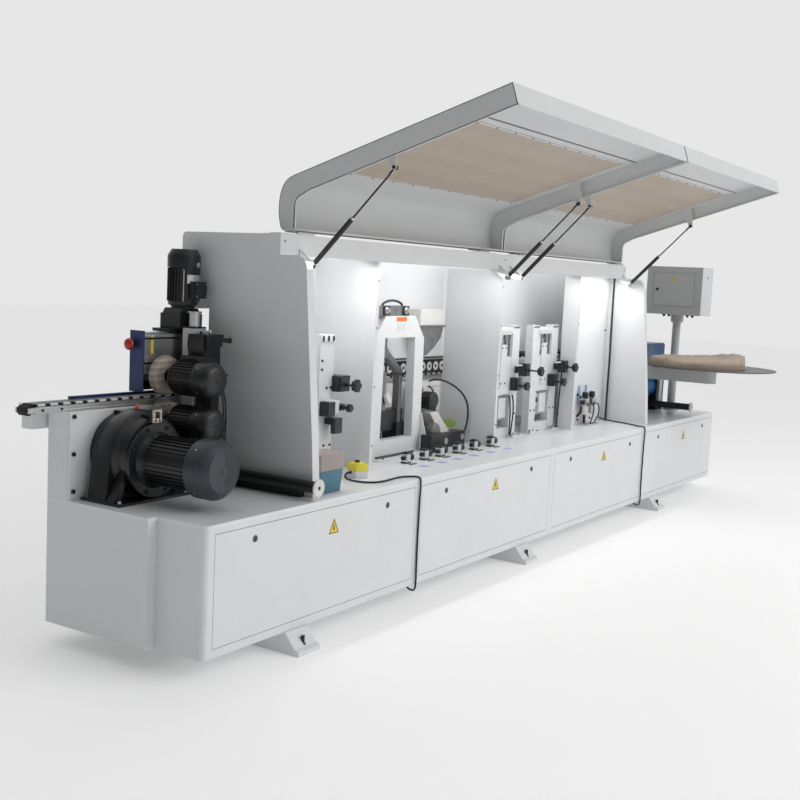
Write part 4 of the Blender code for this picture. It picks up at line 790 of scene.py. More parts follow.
def make_rollers():
    """Black carrier with its row of pressure rollers; pale rings show on their ends."""
    shape = Shape(0)
    shape.box((0.42, 5.36), (0.6765, 0.7675), (0.938, 0.9746))
    shape.box((0.42, 5.36), (0.6765, 0.68), (0.898, 0.938))
    shape.box((0.42, 5.36), (0.7645, 0.7675), (0.898, 0.938))
    x = ROLLER_START
    while x < 5.33:
        shape.look = 0
        shape.solid((x, 0.6822, ROLLER_Z), BACK, ((0.0, 0.03), (0.002, 0.0318), (0.08, 0.0318),
                (0.082, 0.03)), 22)
        shape.look = 1
        shape.turned((x, 0.6764, ROLLER_Z), FRONT, ((-0.003, 0.0105), (-0.003, 0.0262), (0.0012, 0.0262),
                (0.003, 0.0235), (0.003, 0.013), (0.0014, 0.0105)), 22)
        shape.look = 2
        shape.solid((x, 0.6764, ROLLER_Z), FRONT, ((-0.002, 0.008), (0.004, 0.008), (0.004, 0.005),
                (0.0015, 0.0042)), 12)
        x += ROLLER_STEP
    shape.look = 3
    shape.box((0.42, 5.36), (0.6752, 0.6764), (0.964, 0.972))
    shape.done("pressure_rollers", "beam", [RUBBER, NYLON, BLACK, STEEL], ("roller_carrier",),
            angle=40.0)


def make_chain():
    """Conveyor chain: dark pads over links whose pale ends show along the front."""
    shape = Shape(0)
    shape.look = 1
    shape.box((-0.187, 5.633), (0.704, 0.76), (0.8724, 0.8752))
    x = -0.187
    while x < 5.6:
        shape.look = 0
        shape.box((x + 0.0015, x + 0.0585), (0.7035, 0.764), (0.8755, 0.8828))
        shape.look = 2
        shape.box((x + 0.01, x + 0.044), (0.6962, 0.7033), (0.8738, 0.8826))
        shape.look = 1
        shape.box((x + 0.0015, x + 0.0085), (0.6975, 0.7033), (0.873, 0.879))
        x += 0.06
    shape.done("chain_links", "frame", [DARK, RUBBER, NYLON], ("chain_pads",), bevel=0.0008)
    guide = Shape(0)
    guide.box((0.063, 5.6), (0.7682, 0.7858), (0.8813, 0.8925))
    guide.look = 1
    guide.box((0.04, 0.0628), (0.7682, 0.7858), (0.8813, 0.8925))
    guide.done("chain_guide", "frame", [NAVY, BLACK], bevel=0.001)


def make_return_roller():
    """Return roller of the conveyor, its axle screws and the edge of the track."""
    shape = Shape(0)
    x, z = -0.2145, 0.86
    shape.solid((x, 0.7012, z), BACK, ((0.0, 0.0185), (0.0015, 0.0198), (0.044, 0.0198), (0.0456, 0.0185)),
            36)
    shape.look = 1
    shape.solid((x, 0.701, z), FRONT, ((-0.001, 0.0075), (0.0028, 0.0075), (0.004, 0.005)), 18)
    shape.done("return_drum", "return_roller", [RUBBER, STEEL], ("conveyor_roller",))
    cheek = Shape(0)
    cheek.look = 1
    cheek.screw((-0.16, 0.6898, 0.8595), FRONT, 0.0055, 0.0035, 14)
    cheek.screw((-0.07, 0.6898, 0.8595), FRONT, 0.005, 0.0035, 14)
    cheek.look = 0
    cheek.box((-0.07, 5.65), (0.6862, 0.6897), (0.8475, 0.856))
    cheek.done("track_edge", "frame", [ALUMINIUM, BLACK], bevel=0.0008)


DRIVE_X = 0.205


def make_drive():
    """Gear reducer: cast drum on a foot, bolted flange, orange breather plug."""
    x, z = DRIVE_X, 0.68
    shape = Shape(0)
    shape.solid((x, 0.6697, z), FRONT, ((0.0, 0.15), (0.052, 0.15), (0.058, 0.158), (0.066, 0.169),
            (0.072, 0.172), (0.134, 0.172), (0.142, 0.17), (0.15, 0.163), (0.158, 0.152), (0.186, 0.15),
            (0.19, 0.1475), (0.196, 0.1475)), 96)
    side = [(x - 0.172, 0.7), (x - 0.19, 0.54), (x - 0.198, 0.5115), (x + 0.188, 0.5115), (x + 0.18, 0.54),
            (x + 0.172, 0.69), (x + 0.15, 0.74), (x - 0.15, 0.74)]
    shape.prism(side, "Y", (0.53, 0.63))
    shape.box((0.005, 0.395), (0.448, 0.664), (ON_DECK, 0.5113))
    shape.prism(((0.01, 0.5112), (0.05, 0.5112), (0.08, 0.62), (0.07, 0.66), (0.055, 0.6)), "Y",
            (0.485, 0.528))
    for a in range(8):
        angle = math.radians(22.5 + 45.0 * a)
        px, pz = x + 0.158 * math.cos(angle), z + 0.158 * math.sin(angle)
        shape.rod((px, 0.5365, pz), (px, 0.52, pz), 0.0095, 14)
    shape.look = 1
    for px, py in ((0.024, 0.466), (0.024, 0.64), (0.376, 0.466), (0.376, 0.64)):
        shape.solid((px, py, 0.5114), UP, ((0.0, 0.0105), (0.0015, 0.0105), (0.0015, 0.008), (0.009, 0.008),
                (0.01, 0.006)), 18)
    shape.look = 2
    shape.solid((0.232, 0.6, 0.849), UP, ((0.0, 0.01), (0.006, 0.01), (0.006, 0.0075), (0.014, 0.0075),
            (0.017, 0.0045)), 18)
    shape.done("reducer_body", "frame", [BLACK, STEEL, ORANGE], ("gear_reducer",),
            bevel=0.0012, angle=32.0)


def make_drive_motor():
    """Flanged, finned motor with a fan cowl and its grille."""
    x, y, z = DRIVE_X, 0.4731, 0.662
    shape = Shape(0)
    shape.solid((x, y, z), FRONT, ((0.0, 0.147), (0.002, 0.149), (0.015, 0.149), (0.0165, 0.1475),
            (0.017, 0.112), (0.03, 0.1), (0.05, 0.096), (0.255, 0.096), (0.255, 0.1), (0.262, 0.1)), 72)
    for k in range(36):
        angle = math.radians(10.0 * k + 5.0)
        if math.sin(angle) < -0.9:
            continue
        fin = Matrix.Translation(Vector((x, 0, z))) @ Matrix.Rotation(-angle, 4, "Y")
        shape.block(fin, (0.0985, 0.33, 0.0), (0.0085, 0.205, 0.0028))
    shape.look = 1
    shape.solid((x, y - 0.263, z), FRONT, ((0.0, 0.114), (0.002, 0.116), (0.068, 0.116), (0.08, 0.112),
            (0.092, 0.102), (0.1, 0.093), (0.1045, 0.086), (0.1065, 0.084), (0.1065, 0.08), (0.104, 0.078)),
            80)
    shape.look = 2
    front = y - 0.263 - 0.104
    for i in range(-7, 8):
        for j in range(-7, 8):
            px, pz = 0.0095 * i, 0.0095 * j
            if px < 0.004 or math.hypot(px, pz) > 0.071 or math.hypot(px, pz) < 0.02:
                continue
            shape.box((x + px - 0.003, x + px + 0.003), (front - 0.0006, front - 0.0001),
                    (z + pz - 0.003, z + pz + 0.003))
    for i in range(3):
        for j in range(3):
            px, pz = -0.02 + 0.0085 * i, -0.008 + 0.0085 * j
            shape.box((x + px - 0.0024, x + px + 0.0024), (front - 0.0006, front - 0.0001),
                    (z + pz - 0.0024, z + pz + 0.0024))
    shape.look = 3
    for angle in (45.0, 135.0, 225.0, 315.0):
        a = math.radians(angle)
        shape.screw((x + 0.1155 * math.cos(a), y - 0.3, z + 0.1155 * math.sin(a)),
                    (math.cos(a), 0, math.sin(a)), 0.0045, 0.003, 14)
        shape.rod((x + 0.103 * math.cos(a), y - 0.017, z + 0.103 * math.sin(a)),
                  (x + 0.103 * math.cos(a), y - 0.026, z + 0.103 * math.sin(a)), 0.0055, 14)
    shape.look = 4
    for k in range(8):
        a = math.radians(22.5 + 45.0 * k)
        shape.screw((x + 0.133 * math.cos(a), y - 0.0166, z + 0.133 * math.sin(a)), FRONT, 0.008, 0.0075,
                18)
    shape.done("drive_motor", "frame", [BLACK, DARK, INK, STEEL, PLASTIC], ("gear_motor",),
            angle=35.0)


BUFF_X, BUFF_UPPER, BUFF_LOWER = 0.43, 0.97, 0.785


def buffing_motor(name, z, cad, upper):
    """Buffing motor: finned body, vents and its bracket or foot."""
    x, end = BUFF_X, 0.6085
    shape = Shape(0)
    start = (x, end - 0.02, z)
    shape.solid(start, FRONT, ((-0.0198, 0.022), (0.0, 0.024), (0.0, 0.036), (0.014, 0.04), (0.022, 0.07),
            (0.03, 0.0705), (0.03, 0.067), (0.15, 0.067), (0.15, 0.0755), (0.156, 0.076), (0.2, 0.076),
            (0.212, 0.073), (0.224, 0.064), (0.23, 0.054), (0.232, 0.05)), 60)
    for k in range(30):
        angle = math.radians(12.0 * k)
        fin = Matrix.Translation(Vector((x, 0, z))) @ Matrix.Rotation(-angle, 4, "Y")
        shape.block(fin, (0.07, end - 0.11, 0.0), (0.008, 0.118, 0.0026))
    if upper:
        shape.prism(((0.512, 1.025), (0.552, 1.025), (0.556, 1.1), (0.56, 1.145), (0.5, 1.145),
                (0.495, 1.1)), "Y", (0.5, 0.59))
        shape.prism(((0.47, 1.1455), (0.59, 1.1455), (0.59, 1.12), (0.56, 1.06), (0.54, 1.02),
                (0.52, 1.02)), "X", (0.506, 0.52))
        shape.box((0.552, 0.6), (0.5, 0.58), (ON_DECK, 1.1458))
        shape.box((0.45, 0.59), (0.49, 0.584), (0.995, 1.058))
        shape.box((0.54, 0.612), (0.494, 0.59), (1.129, 1.1459))
        shape.box((0.545, 0.61), (0.47, 0.586), (ON_DECK, 0.512))
        shape.look = 1
        for pz in (0.6, 0.75, 0.9, 1.09):
            shape.screw((0.5518, 0.52, pz), LEFT, 0.005, 0.003, 14)
    else:
        shape.box((0.4082, 0.4398), (0.43, 0.52), (ON_DECK, 0.76))
        shape.box((0.403, 0.47), (0.425, 0.525), (ON_DECK, 0.51))
    shape.look = 2
    front = end - 0.02 - 0.232
    for k in range(12):
        a = math.radians(30.0 * k + 10.0)
        turn = Matrix.Translation(Vector((x, front - 0.0004, z))) @ Matrix.Rotation(-a, 4, "Y")
        for near, far in ((0.014, 0.026), (0.03, 0.044)):
            shape.block(turn, (0.5 * (near + far), 0, 0), (far - near, 0.0008, 0.0034))
    shape.look = 1
    for angle in (40.0, 140.0, 220.0, 320.0):
        a = math.radians(angle)
        shape.screw((x + 0.0758 * math.cos(a), end - 0.198, z + 0.0758 * math.sin(a)),
                (math.cos(a), 0, math.sin(a)), 0.0034, 0.0024, 12)
    shape.look = 0
    shape.solid((x + 0.06, front + 0.014, z + 0.02), (0.75, -0.66, 0), ((0.0, 0.005), (0.01, 0.005)), 12)
    shape.done(name, "frame", [BLACK, STEEL, ZINC], (cad,), angle=35.0)


def make_wheel(name, z, body, cad):
    """Sewn cotton wheel: many thin layers, so its rim is slightly ragged."""
    x, y = BUFF_X, 0.6288
    shape = Shape(0)
    sides = 96
    profile = ((0.0, 0.03), (0.0016, 0.06), (0.003, 0.074), (0.0055, 0.08), (0.01, 0.0825), (0.015, 0.0835),
            (0.019, 0.0838), (0.023, 0.0835), (0.028, 0.0825), (0.0325, 0.08), (0.035, 0.074),
            (0.0364, 0.06), (0.038, 0.03))
    bm = shape.bm
    rings = []
    for along, radius in profile:
        ring = []
        for k in range(sides):
            a = 2.0 * math.pi * k / sides
            rough = noise.noise(Vector((math.cos(a) * 9.0, math.sin(a) * 9.0, along * 160.0 + z))) * 0.0011
            sew = 0.0006 * math.cos(24.0 * a + along * 90.0)
            reach = radius + (rough + sew if radius > 0.05 else 0.0)
            reach = min(reach, 0.084)
            ring.append(bm.verts.new((x + reach * math.cos(a), y + along, z + reach * math.sin(a))))
        rings.append(ring)
    shape.bridge(rings)
    bm.faces.new(rings[0])
    bm.faces.new(rings[-1])
    shape.mark(0)
    shape.look = 1
    shape.solid((x, y, z), FRONT, ((-0.001, 0.027), (0.003, 0.027), (0.003, 0.012), (0.0, 0.012)), 32)
    shape.solid((x, y + 0.038, z), BACK, ((-0.001, 0.027), (0.001, 0.027)), 32)
    shape.done(name, body, [COTTON, STEEL], (cad,), angle=50.0)


def make_exit_trim():
    """Bolts, nozzle, lever, cylinder and foot bar around the exit end."""
    bolts = Shape(0)
    for z in (0.536, 0.682, 0.828):
        bolts.screw((-0.028, 0.67, z), FRONT, 0.0085, 0.009, 20)
    bolts.screw((0.44, 0.67, 0.815), FRONT, 0.008, 0.008, 20)
    bolts.done("plate_bolts", "frame", [PLASTIC])
    nozzle = Shape(0)
    x0, x1, z0, z1, y0, y1 = 0.16, 0.206, 0.8135, 0.864, 0.436, 0.444
    nozzle.box((x0, x0 + 0.01), (y0, y1), (z0, z1))
    nozzle.box((x1 - 0.01, x1), (y0, y1), (z0, z1))
    nozzle.box((x0 + 0.01, x1 - 0.01), (y0, y1), (z1 - 0.008, z1))
    nozzle.box((x0 + 0.01, x1 - 0.01), (y0, y1), (z0, z0 + 0.016))
    nozzle.look = 1
    nozzle.box((x0 + 0.01, x1 - 0.01), (0.4442, 0.473), (z0 + 0.004, z1 - 0.002))
    for px in (x0 + 0.012, x1 - 0.012):
        nozzle.screw((px, y0 - 0.0001, z0 + 0.008), FRONT, 0.0045, 0.003, 12)
    nozzle.box((x0 + 0.014, x1 - 0.014), (0.46, 0.669), (z0 + 0.018, z0 + 0.026))
    nozzle.box((x0 + 0.014, x1 - 0.014), (0.66, 0.6698), (z0 + 0.001, z0 + 0.026))
    nozzle.done("spray_block", "frame", [COTTON, PLASTIC], bevel=0.0008)
    lever = Shape(0)
    lever.rod((0.6, 0.52, 1.122), (0.648, 0.5, 1.12), 0.0095, 20)
    lever.rod((0.648, 0.5, 1.12), (0.658, 0.496, 1.1195), 0.012, 20)
    lever.box((0.6, 0.612), (0.5, 0.58), (1.095, 1.128))
    lever.rod((0.585, 0.545, 1.146), (0.585, 0.545, 1.159), 0.01, 18)
    lever.rod((0.56, 0.572, 1.146), (0.56, 0.572, 1.155), 0.008, 18)
    lever.look = 1
    lever.turned((0.555, 0.52, 1.146), UP, ((0.0, 0.0), (0.0, 0.008), (0.006, 0.008), (0.014, 0.0072),
            (0.019, 0.0045), (0.02, 0.0)), 20)
    lever.done("clamp_lever", "frame", [PLASTIC, ALUMINIUM])
    rod = Shape(0)
    rod.look = 1
    rod.box((0.541, 0.614), (0.5965, 0.6595), (1.1655, 1.172))
    rod.look = 0
    rod.rod((0.575, 0.628, 1.1721), (0.575, 0.628, 1.23), 0.024, 32)
    rod.rod((0.575, 0.628, 1.23), (0.575, 0.628, 1.236), 0.03, 32)
    rod.look = 1
    rod.box((0.545, 0.605), (0.6, 0.656), (1.164, 1.1655))
    rod.done("guide_cylinder", "frame", [ALUMINIUM, BLACK], bevel=0.001)
    bar = Shape(0)
    bar.box((0.672, 0.7015), (0.105, 0.64), (0.5008, 0.552))
    bar.done("deck_bar", "frame", [BLACK], bevel=0.002)
    for number, dx in enumerate((0.0, 0.014), start=1):
        hose(f"motor_lead_{number}", ((0.47 + dx, 0.489, 1.03), (0.4705 + dx, 0.478, 1.029),
                (0.472 + dx, 0.44, 1.015), (0.478 + dx, 0.4, 0.97), (0.486 + dx, 0.378, 0.9),
                (0.49 + dx, 0.372, 0.82), (0.494 + dx, 0.376, 0.72), (0.496 + dx, 0.384, 0.62),
                (0.496 + dx, 0.388, 0.56), (0.496 + dx, 0.389, 0.504)), 0.0035, CABLE, 4)


# ------------------------------------------------------------------ small repeated parts
def star_knob(name, body, cad, tip, radius, shaft_end):
    """Five-lobed hand knob with its threaded shaft and a lock nut."""
    x, y, z = tip
    shape = Shape(0)
    count = 60
    for near, far, scale in ((y + 0.003, y + 0.021, 1.0), (y, y + 0.003, 0.9),
            (y + 0.021, y + 0.024, 0.86)):
        ring = []
        for i in range(count):
            a = 2.0 * math.pi * i / count
            lobe = 0.5 + 0.5 * math.cos(5.0 * a)
            reach = radius * scale * (0.86 + 0.3 * lobe ** 0.6)
            ring.append((x + reach * math.cos(a), z + reach * math.sin(a)))
        shape.prism(ring, "Y", (near, far))
    shape.solid((x, y, z), FRONT, ((0.0, radius * 0.42), (0.0001, radius * 0.4)), 24)
    shape.solid((x, y + 0.024, z), BACK, ((0.0, 0.0115), (0.01, 0.01)), 24)
    shape.look = 1
    shape.rod((x, y + 0.034, z), (x, shaft_end - 0.0002, z), 0.0055, 20)
    shape.rod((x, shaft_end - 0.012, z), (x, shaft_end - 0.004, z), 0.01, 6)
    shape.done(name, body, [PLASTIC, ZINC], (cad,), angle=40.0)


def fixed_knob(shape, tip, radius, shaft_end):
    """Small lobed knob that does not turn."""
    x, y, z = tip
    ring = []
    for i in range(40):
        a = 2.0 * math.pi * i / 40
        reach = radius * (0.88 + 0.26 * (0.5 + 0.5 * math.cos(5.0 * a)))
        ring.append((x + reach * math.cos(a), z + reach * math.sin(a)))
    shape.prism(ring, "Y", (y, y + 0.022))
    shape.rod((x, y + 0.022, z), (x, shaft_end, z), 0.0055, 16)


# ------------------------------------------------------------------ working units
def make_scraper():
    """Scraping unit: post, adjusters, screws and knob."""
    shape = Shape(0)
    outline = ((0.36, ON_DECK), (0.36, 0.79), (0.315, 0.79), (0.315, 0.85), (0.36, 0.85), (0.36, 1.147),
            (0.41, 1.147), (0.41, 1.0), (0.6, 1.0), (0.64, 0.96), (0.64, 0.915), (0.54, 0.9), (0.41, 0.87),
            (0.41, 0.6), (0.5, 0.52), (0.5, ON_DECK))
    shape.prism(outline, "X", (1.1352, 1.21))
    # Front plate in the darker copy of the white paint: painted shade on a face that is seen in shade.
    shape.look = 1
    shape.box((1.1, 1.206), (0.352, 0.3598), (0.52, 1.144))
    shape.look = 0
    shape.box((1.102, 1.206), (0.348, 0.3519), (1.118, 1.144))
    adjuster_shape(shape, (1.1952, 1.28), (0.3105, 0.3515), (0.887, 0.96), 2, 2)
    shape.box((1.2102, 1.28), (0.3516, 0.4), (0.887, 0.96))
    shape.look = 2
    for px in (1.114, 1.152, 1.19):
        shape.screw((px, 0.3479, 1.13), FRONT, 0.007, 0.005, 16)
        shape.box((px - 0.0045, px + 0.0045), (0.344, 0.3479), (1.118, 1.144))
    for pz in (1.03, 0.99):
        shape.screw((1.115, 0.3519, pz), FRONT, 0.006, 0.005, 16)
    for px, pz in ((1.155, 0.905), (1.185, 0.905), (1.17, 0.61), (1.195, 0.64), (1.15, 0.64)):
        shape.screw((px, 0.3519, pz), FRONT, 0.006, 0.0045, 16)
    shape.box((1.11, 1.16), (0.3, 0.3519), (0.78, 0.845))
    shape.box((1.15, 1.205), (0.29, 0.3149), (0.7, 0.77))
    shape.box((1.15, 1.205), (0.31, 0.3519), (0.74, 0.77))
    shape.solid((1.23, 0.31, 0.815), FRONT, ((0.0, 0.008), (0.03, 0.008), (0.03, 0.019), (0.045, 0.02),
            (0.052, 0.015)), 24)
    shape.box((1.2102, 1.25), (0.3102, 0.3599), (0.8, 0.83))
    shape.look = 1
    shape.box((1.2102, 1.238), (0.62, 0.6399), (0.85, 0.93))
    shape.prism(((0.58, 0.88), (0.638, 0.865), (0.638, 0.88), (0.58, 0.896)), "X", (1.145, 1.2))
    shape.done("scraper_unit", "frame", [WHITE, WHITE_IN_SHADE, BLACK], ("scraper_post",), bevel=0.001)


def make_arch_details():
    """Corner rounding unit behind and around the arch."""
    top = Shape(0)
    top.box((1.699, 1.985), (0.456, 0.504), (1.2266, 1.2782))
    top.look = 1
    for x in (1.771, 1.95):
        top.box((x - 0.03, x + 0.03), (0.452, 0.4559), (1.23, 1.276))
        top.look = 2
        top.solid((x, 0.4519, 1.254), FRONT, ((0.0, 0.0185), (0.004, 0.0185), (0.006, 0.016), (0.006, 0.01),
                (0.016, 0.009)), 28)
        top.look = 1
    top.screw((1.862, 0.4559, 1.26), FRONT, 0.0035, 0.002, 12)
    top.look = 1
    top.tube(curve_points(((1.771, 0.48, 1.278), (1.774, 0.48, 1.285), (1.79, 0.48, 1.293),
            (1.822, 0.48, 1.301), (1.861, 0.48, 1.304), (1.9, 0.48, 1.301), (1.932, 0.48, 1.293),
            (1.947, 0.48, 1.285), (1.95, 0.48, 1.278)), 4), 0.0062, 12)
    top.done("valve_block", "frame", [CAST, BLACK, STEEL], bevel=0.0012)
    label = Shape(0)
    label.box((1.869, 1.965), (0.454, 0.4548), (1.199, 1.22))
    label.look = 1
    label.box((1.88, 1.955), (0.454, 0.4548), (1.15, 1.19))
    label.done("arch_label", "frame", [ORANGE, PALE_GREY])
    rollers = Shape(0)
    rollers.turned((1.845, 0.53, 1.06), (0.845, 0.12, -0.521),
            ((0.0, 0.0), (0.0, 0.028), (0.018, 0.03), (0.03, 0.03), (0.034, 0.025), (0.24, 0.025),
            (0.244, 0.028), (0.265, 0.028), (0.268, 0.0), ), 32)
    rollers.look = 1
    rollers.box((1.735, 1.79), (0.506, 0.56), (1.07, 1.118))
    rollers.solid((1.8, 0.5062, 1.095), FRONT, ((-0.01, 0.024), (-0.0005, 0.024)), 24)
    rollers.look = 2
    rollers.box((1.81, 1.87), (0.506, 0.59), (1.01, 1.11))
    rollers.look = 1
    rollers.solid((1.77, 0.56, 0.83), (0.72, 0.1, -0.69), ((0.0, 0.04), (0.06, 0.044), (0.14, 0.044),
            (0.16, 0.03)), 28)
    rollers.box((1.815, 2.08), (0.53, 0.6), (0.62, 0.73))
    rollers.box((1.77, 1.86), (0.51, 0.6), (0.5005, 0.62))
    rollers.box((2.0, 2.15), (0.51, 0.6), (0.5005, 0.66))
    rollers.look = 2
    rollers.box((1.87, 1.9), (0.52, 0.56), (0.73, 0.93))
    rollers.box((2.02, 2.05), (0.52, 0.56), (0.66, 0.91))
    rollers.look = 3
    rollers.solid((1.9, 0.52, 0.79), (0.3, -0.9, 0.3), ((0.0, 0.03), (0.012, 0.032), (0.02, 0.03)), 28)
    rollers.done("rounding_heads", "frame", [CAST, BLACK, CAST, NYLON], bevel=0.0015)
    side = Shape(0)
    side.prism(((0.39, ON_DECK), (0.4548, ON_DECK), (0.4548, 0.71), (0.448, 0.71)), "X", (2.1415, 2.1475))
    side.box((1.67, 2.1475), (0.39, 0.4548), (ON_DECK, 0.506))
    side.look = 1
    side.rod((1.7, 0.43, 0.513), (2.049, 0.43, 0.513), 0.006, 16)
    for x in (1.73, 1.98, 2.12):
        side.screw((x, 0.405, 0.5061), UP, 0.0065, 0.006, 16)
    side.done("arch_gusset", "frame", [WHITE, ZINC], bevel=0.001)


def make_hopper():
    """Pale box and dark funnel over the second rounding head."""
    shape = Shape(0)
    shape.box((2.25, 2.48), (0.55, 0.639), (1.17, 1.256))
    shape.look = 1
    shape.box((2.233, 2.505), (0.54, 0.645), (1.16, 1.1698))
    levels = ((((2.243, 2.495), (0.548, 0.64)), 1.1598), (((2.268, 2.478), (0.552, 0.638)), 1.1),
              (((2.29, 2.43), (0.56, 0.635)), 1.05), (((2.31, 2.36), (0.57, 0.625)), 1.0))
    count = len(shape.bm.faces)
    rings = []
    for (xs, ys), z in levels:
        rings.append([shape.bm.verts.new(p + (z,)) for p in ((xs[0], ys[0]), (xs[1], ys[0]), (xs[1], ys[1]),
                (xs[0], ys[1]))])
    shape.bridge(rings)
    shape.bm.faces.new(rings[0])
    shape.bm.faces.new(rings[-1])
    shape.mark(count)
    shape.look = 0
    shape.rod((2.335, 0.595, 1.04), (2.335, 0.595, 0.97), 0.012, 20)
    shape.look = 2
    shape.box((2.31, 2.44), (0.56, 0.63), (0.825, 0.856))
    shape.box((2.44, 2.52), (0.565, 0.63), (0.83, 0.852))
    shape.look = 1
    shape.box((2.32, 2.42), (0.55, 0.63), (0.7, 0.8249))
    shape.look = 2
    shape.box((2.43, 2.49), (0.55, 0.63), (0.7, 0.82))
    shape.prism(((2.25, 0.7), (2.33, 0.7), (2.48, 0.57), (2.44, 0.53), (2.4, 0.54)), "Y", (0.46, 0.52))
    shape.solid((2.3, 0.53, 0.76), FRONT, ((0.0, 0.05), (0.06, 0.05), (0.07, 0.03)), 28)
    shape.look = 1
    shape.box((2.3, 2.46), (0.56, 0.63), (ON_DECK, 0.6999))
    shape.look = 3
    shape.solid((2.27, 0.46, 0.6), FRONT, ((0.0, 0.045), (0.03, 0.045), (0.04, 0.035)), 28)
    shape.box((2.25, 2.29), (0.459, 0.56), (0.58, 0.62))
    shape.done("glue_scraper", "frame", [NYLON, CAST, BLACK, CAST], bevel=0.0015)
    blocks = Shape(0)
    for x, y, z in (((2.12, 2.3), (0.362, 0.43), (0.506, 0.595)),
            ((2.39, 2.58), (0.422, 0.49), (0.506, 0.58))):
        blocks.look = 0
        blocks.box(x, y, z)
        blocks.look = 1
        blocks.solid((x[1] - 0.03, y[0] - 0.0001, 0.5 * (z[0] + z[1]) + 0.004), FRONT,
                ((0.0, 0.018), (0.003, 0.018), (0.003, 0.011), (0.001, 0.011)), 26)
        blocks.look = 0
        blocks.box((x[0] + 0.01, x[1] + 0.01), (y[0] + 0.005, y[1] + 0.01), (ON_DECK, 0.5059))
    blocks.done("head_blocks", "frame", [BLACK, STEEL], bevel=0.002)
    hose("scraper_hose", ((2.52, 0.456, 0.507), (2.523, 0.456, 0.513), (2.56, 0.45, 0.53),
            (2.6, 0.444, 0.56), (2.626, 0.441, 0.61), (2.634, 0.44, 0.67), (2.62, 0.441, 0.73),
            (2.58, 0.446, 0.78), (2.53, 0.453, 0.815), (2.475, 0.468, 0.845), (2.43, 0.495, 0.865),
            (2.4, 0.53, 0.868), (2.385, 0.558, 0.858)), 0.0055, CABLE, 4)
    hose("head_lead", ((2.34, 0.47, 0.504), (2.341, 0.471, 0.516), (2.346, 0.478, 0.57),
            (2.348, 0.484, 0.64), (2.346, 0.488, 0.71), (2.35, 0.5, 0.78), (2.362, 0.525, 0.82),
            (2.38, 0.555, 0.83)), 0.0045, CABLE, 4)
    oval = Shape(0)
    ring = [(0.575 + 0.05 * math.cos(a),
            0.6 + 0.026 * math.sin(a)) for a in (2 * math.pi * k / 40 for k in range(40))]
    oval.prism(ring, "X", (2.6588, 2.6598))
    oval.done("green_label", "frame", [GREEN])


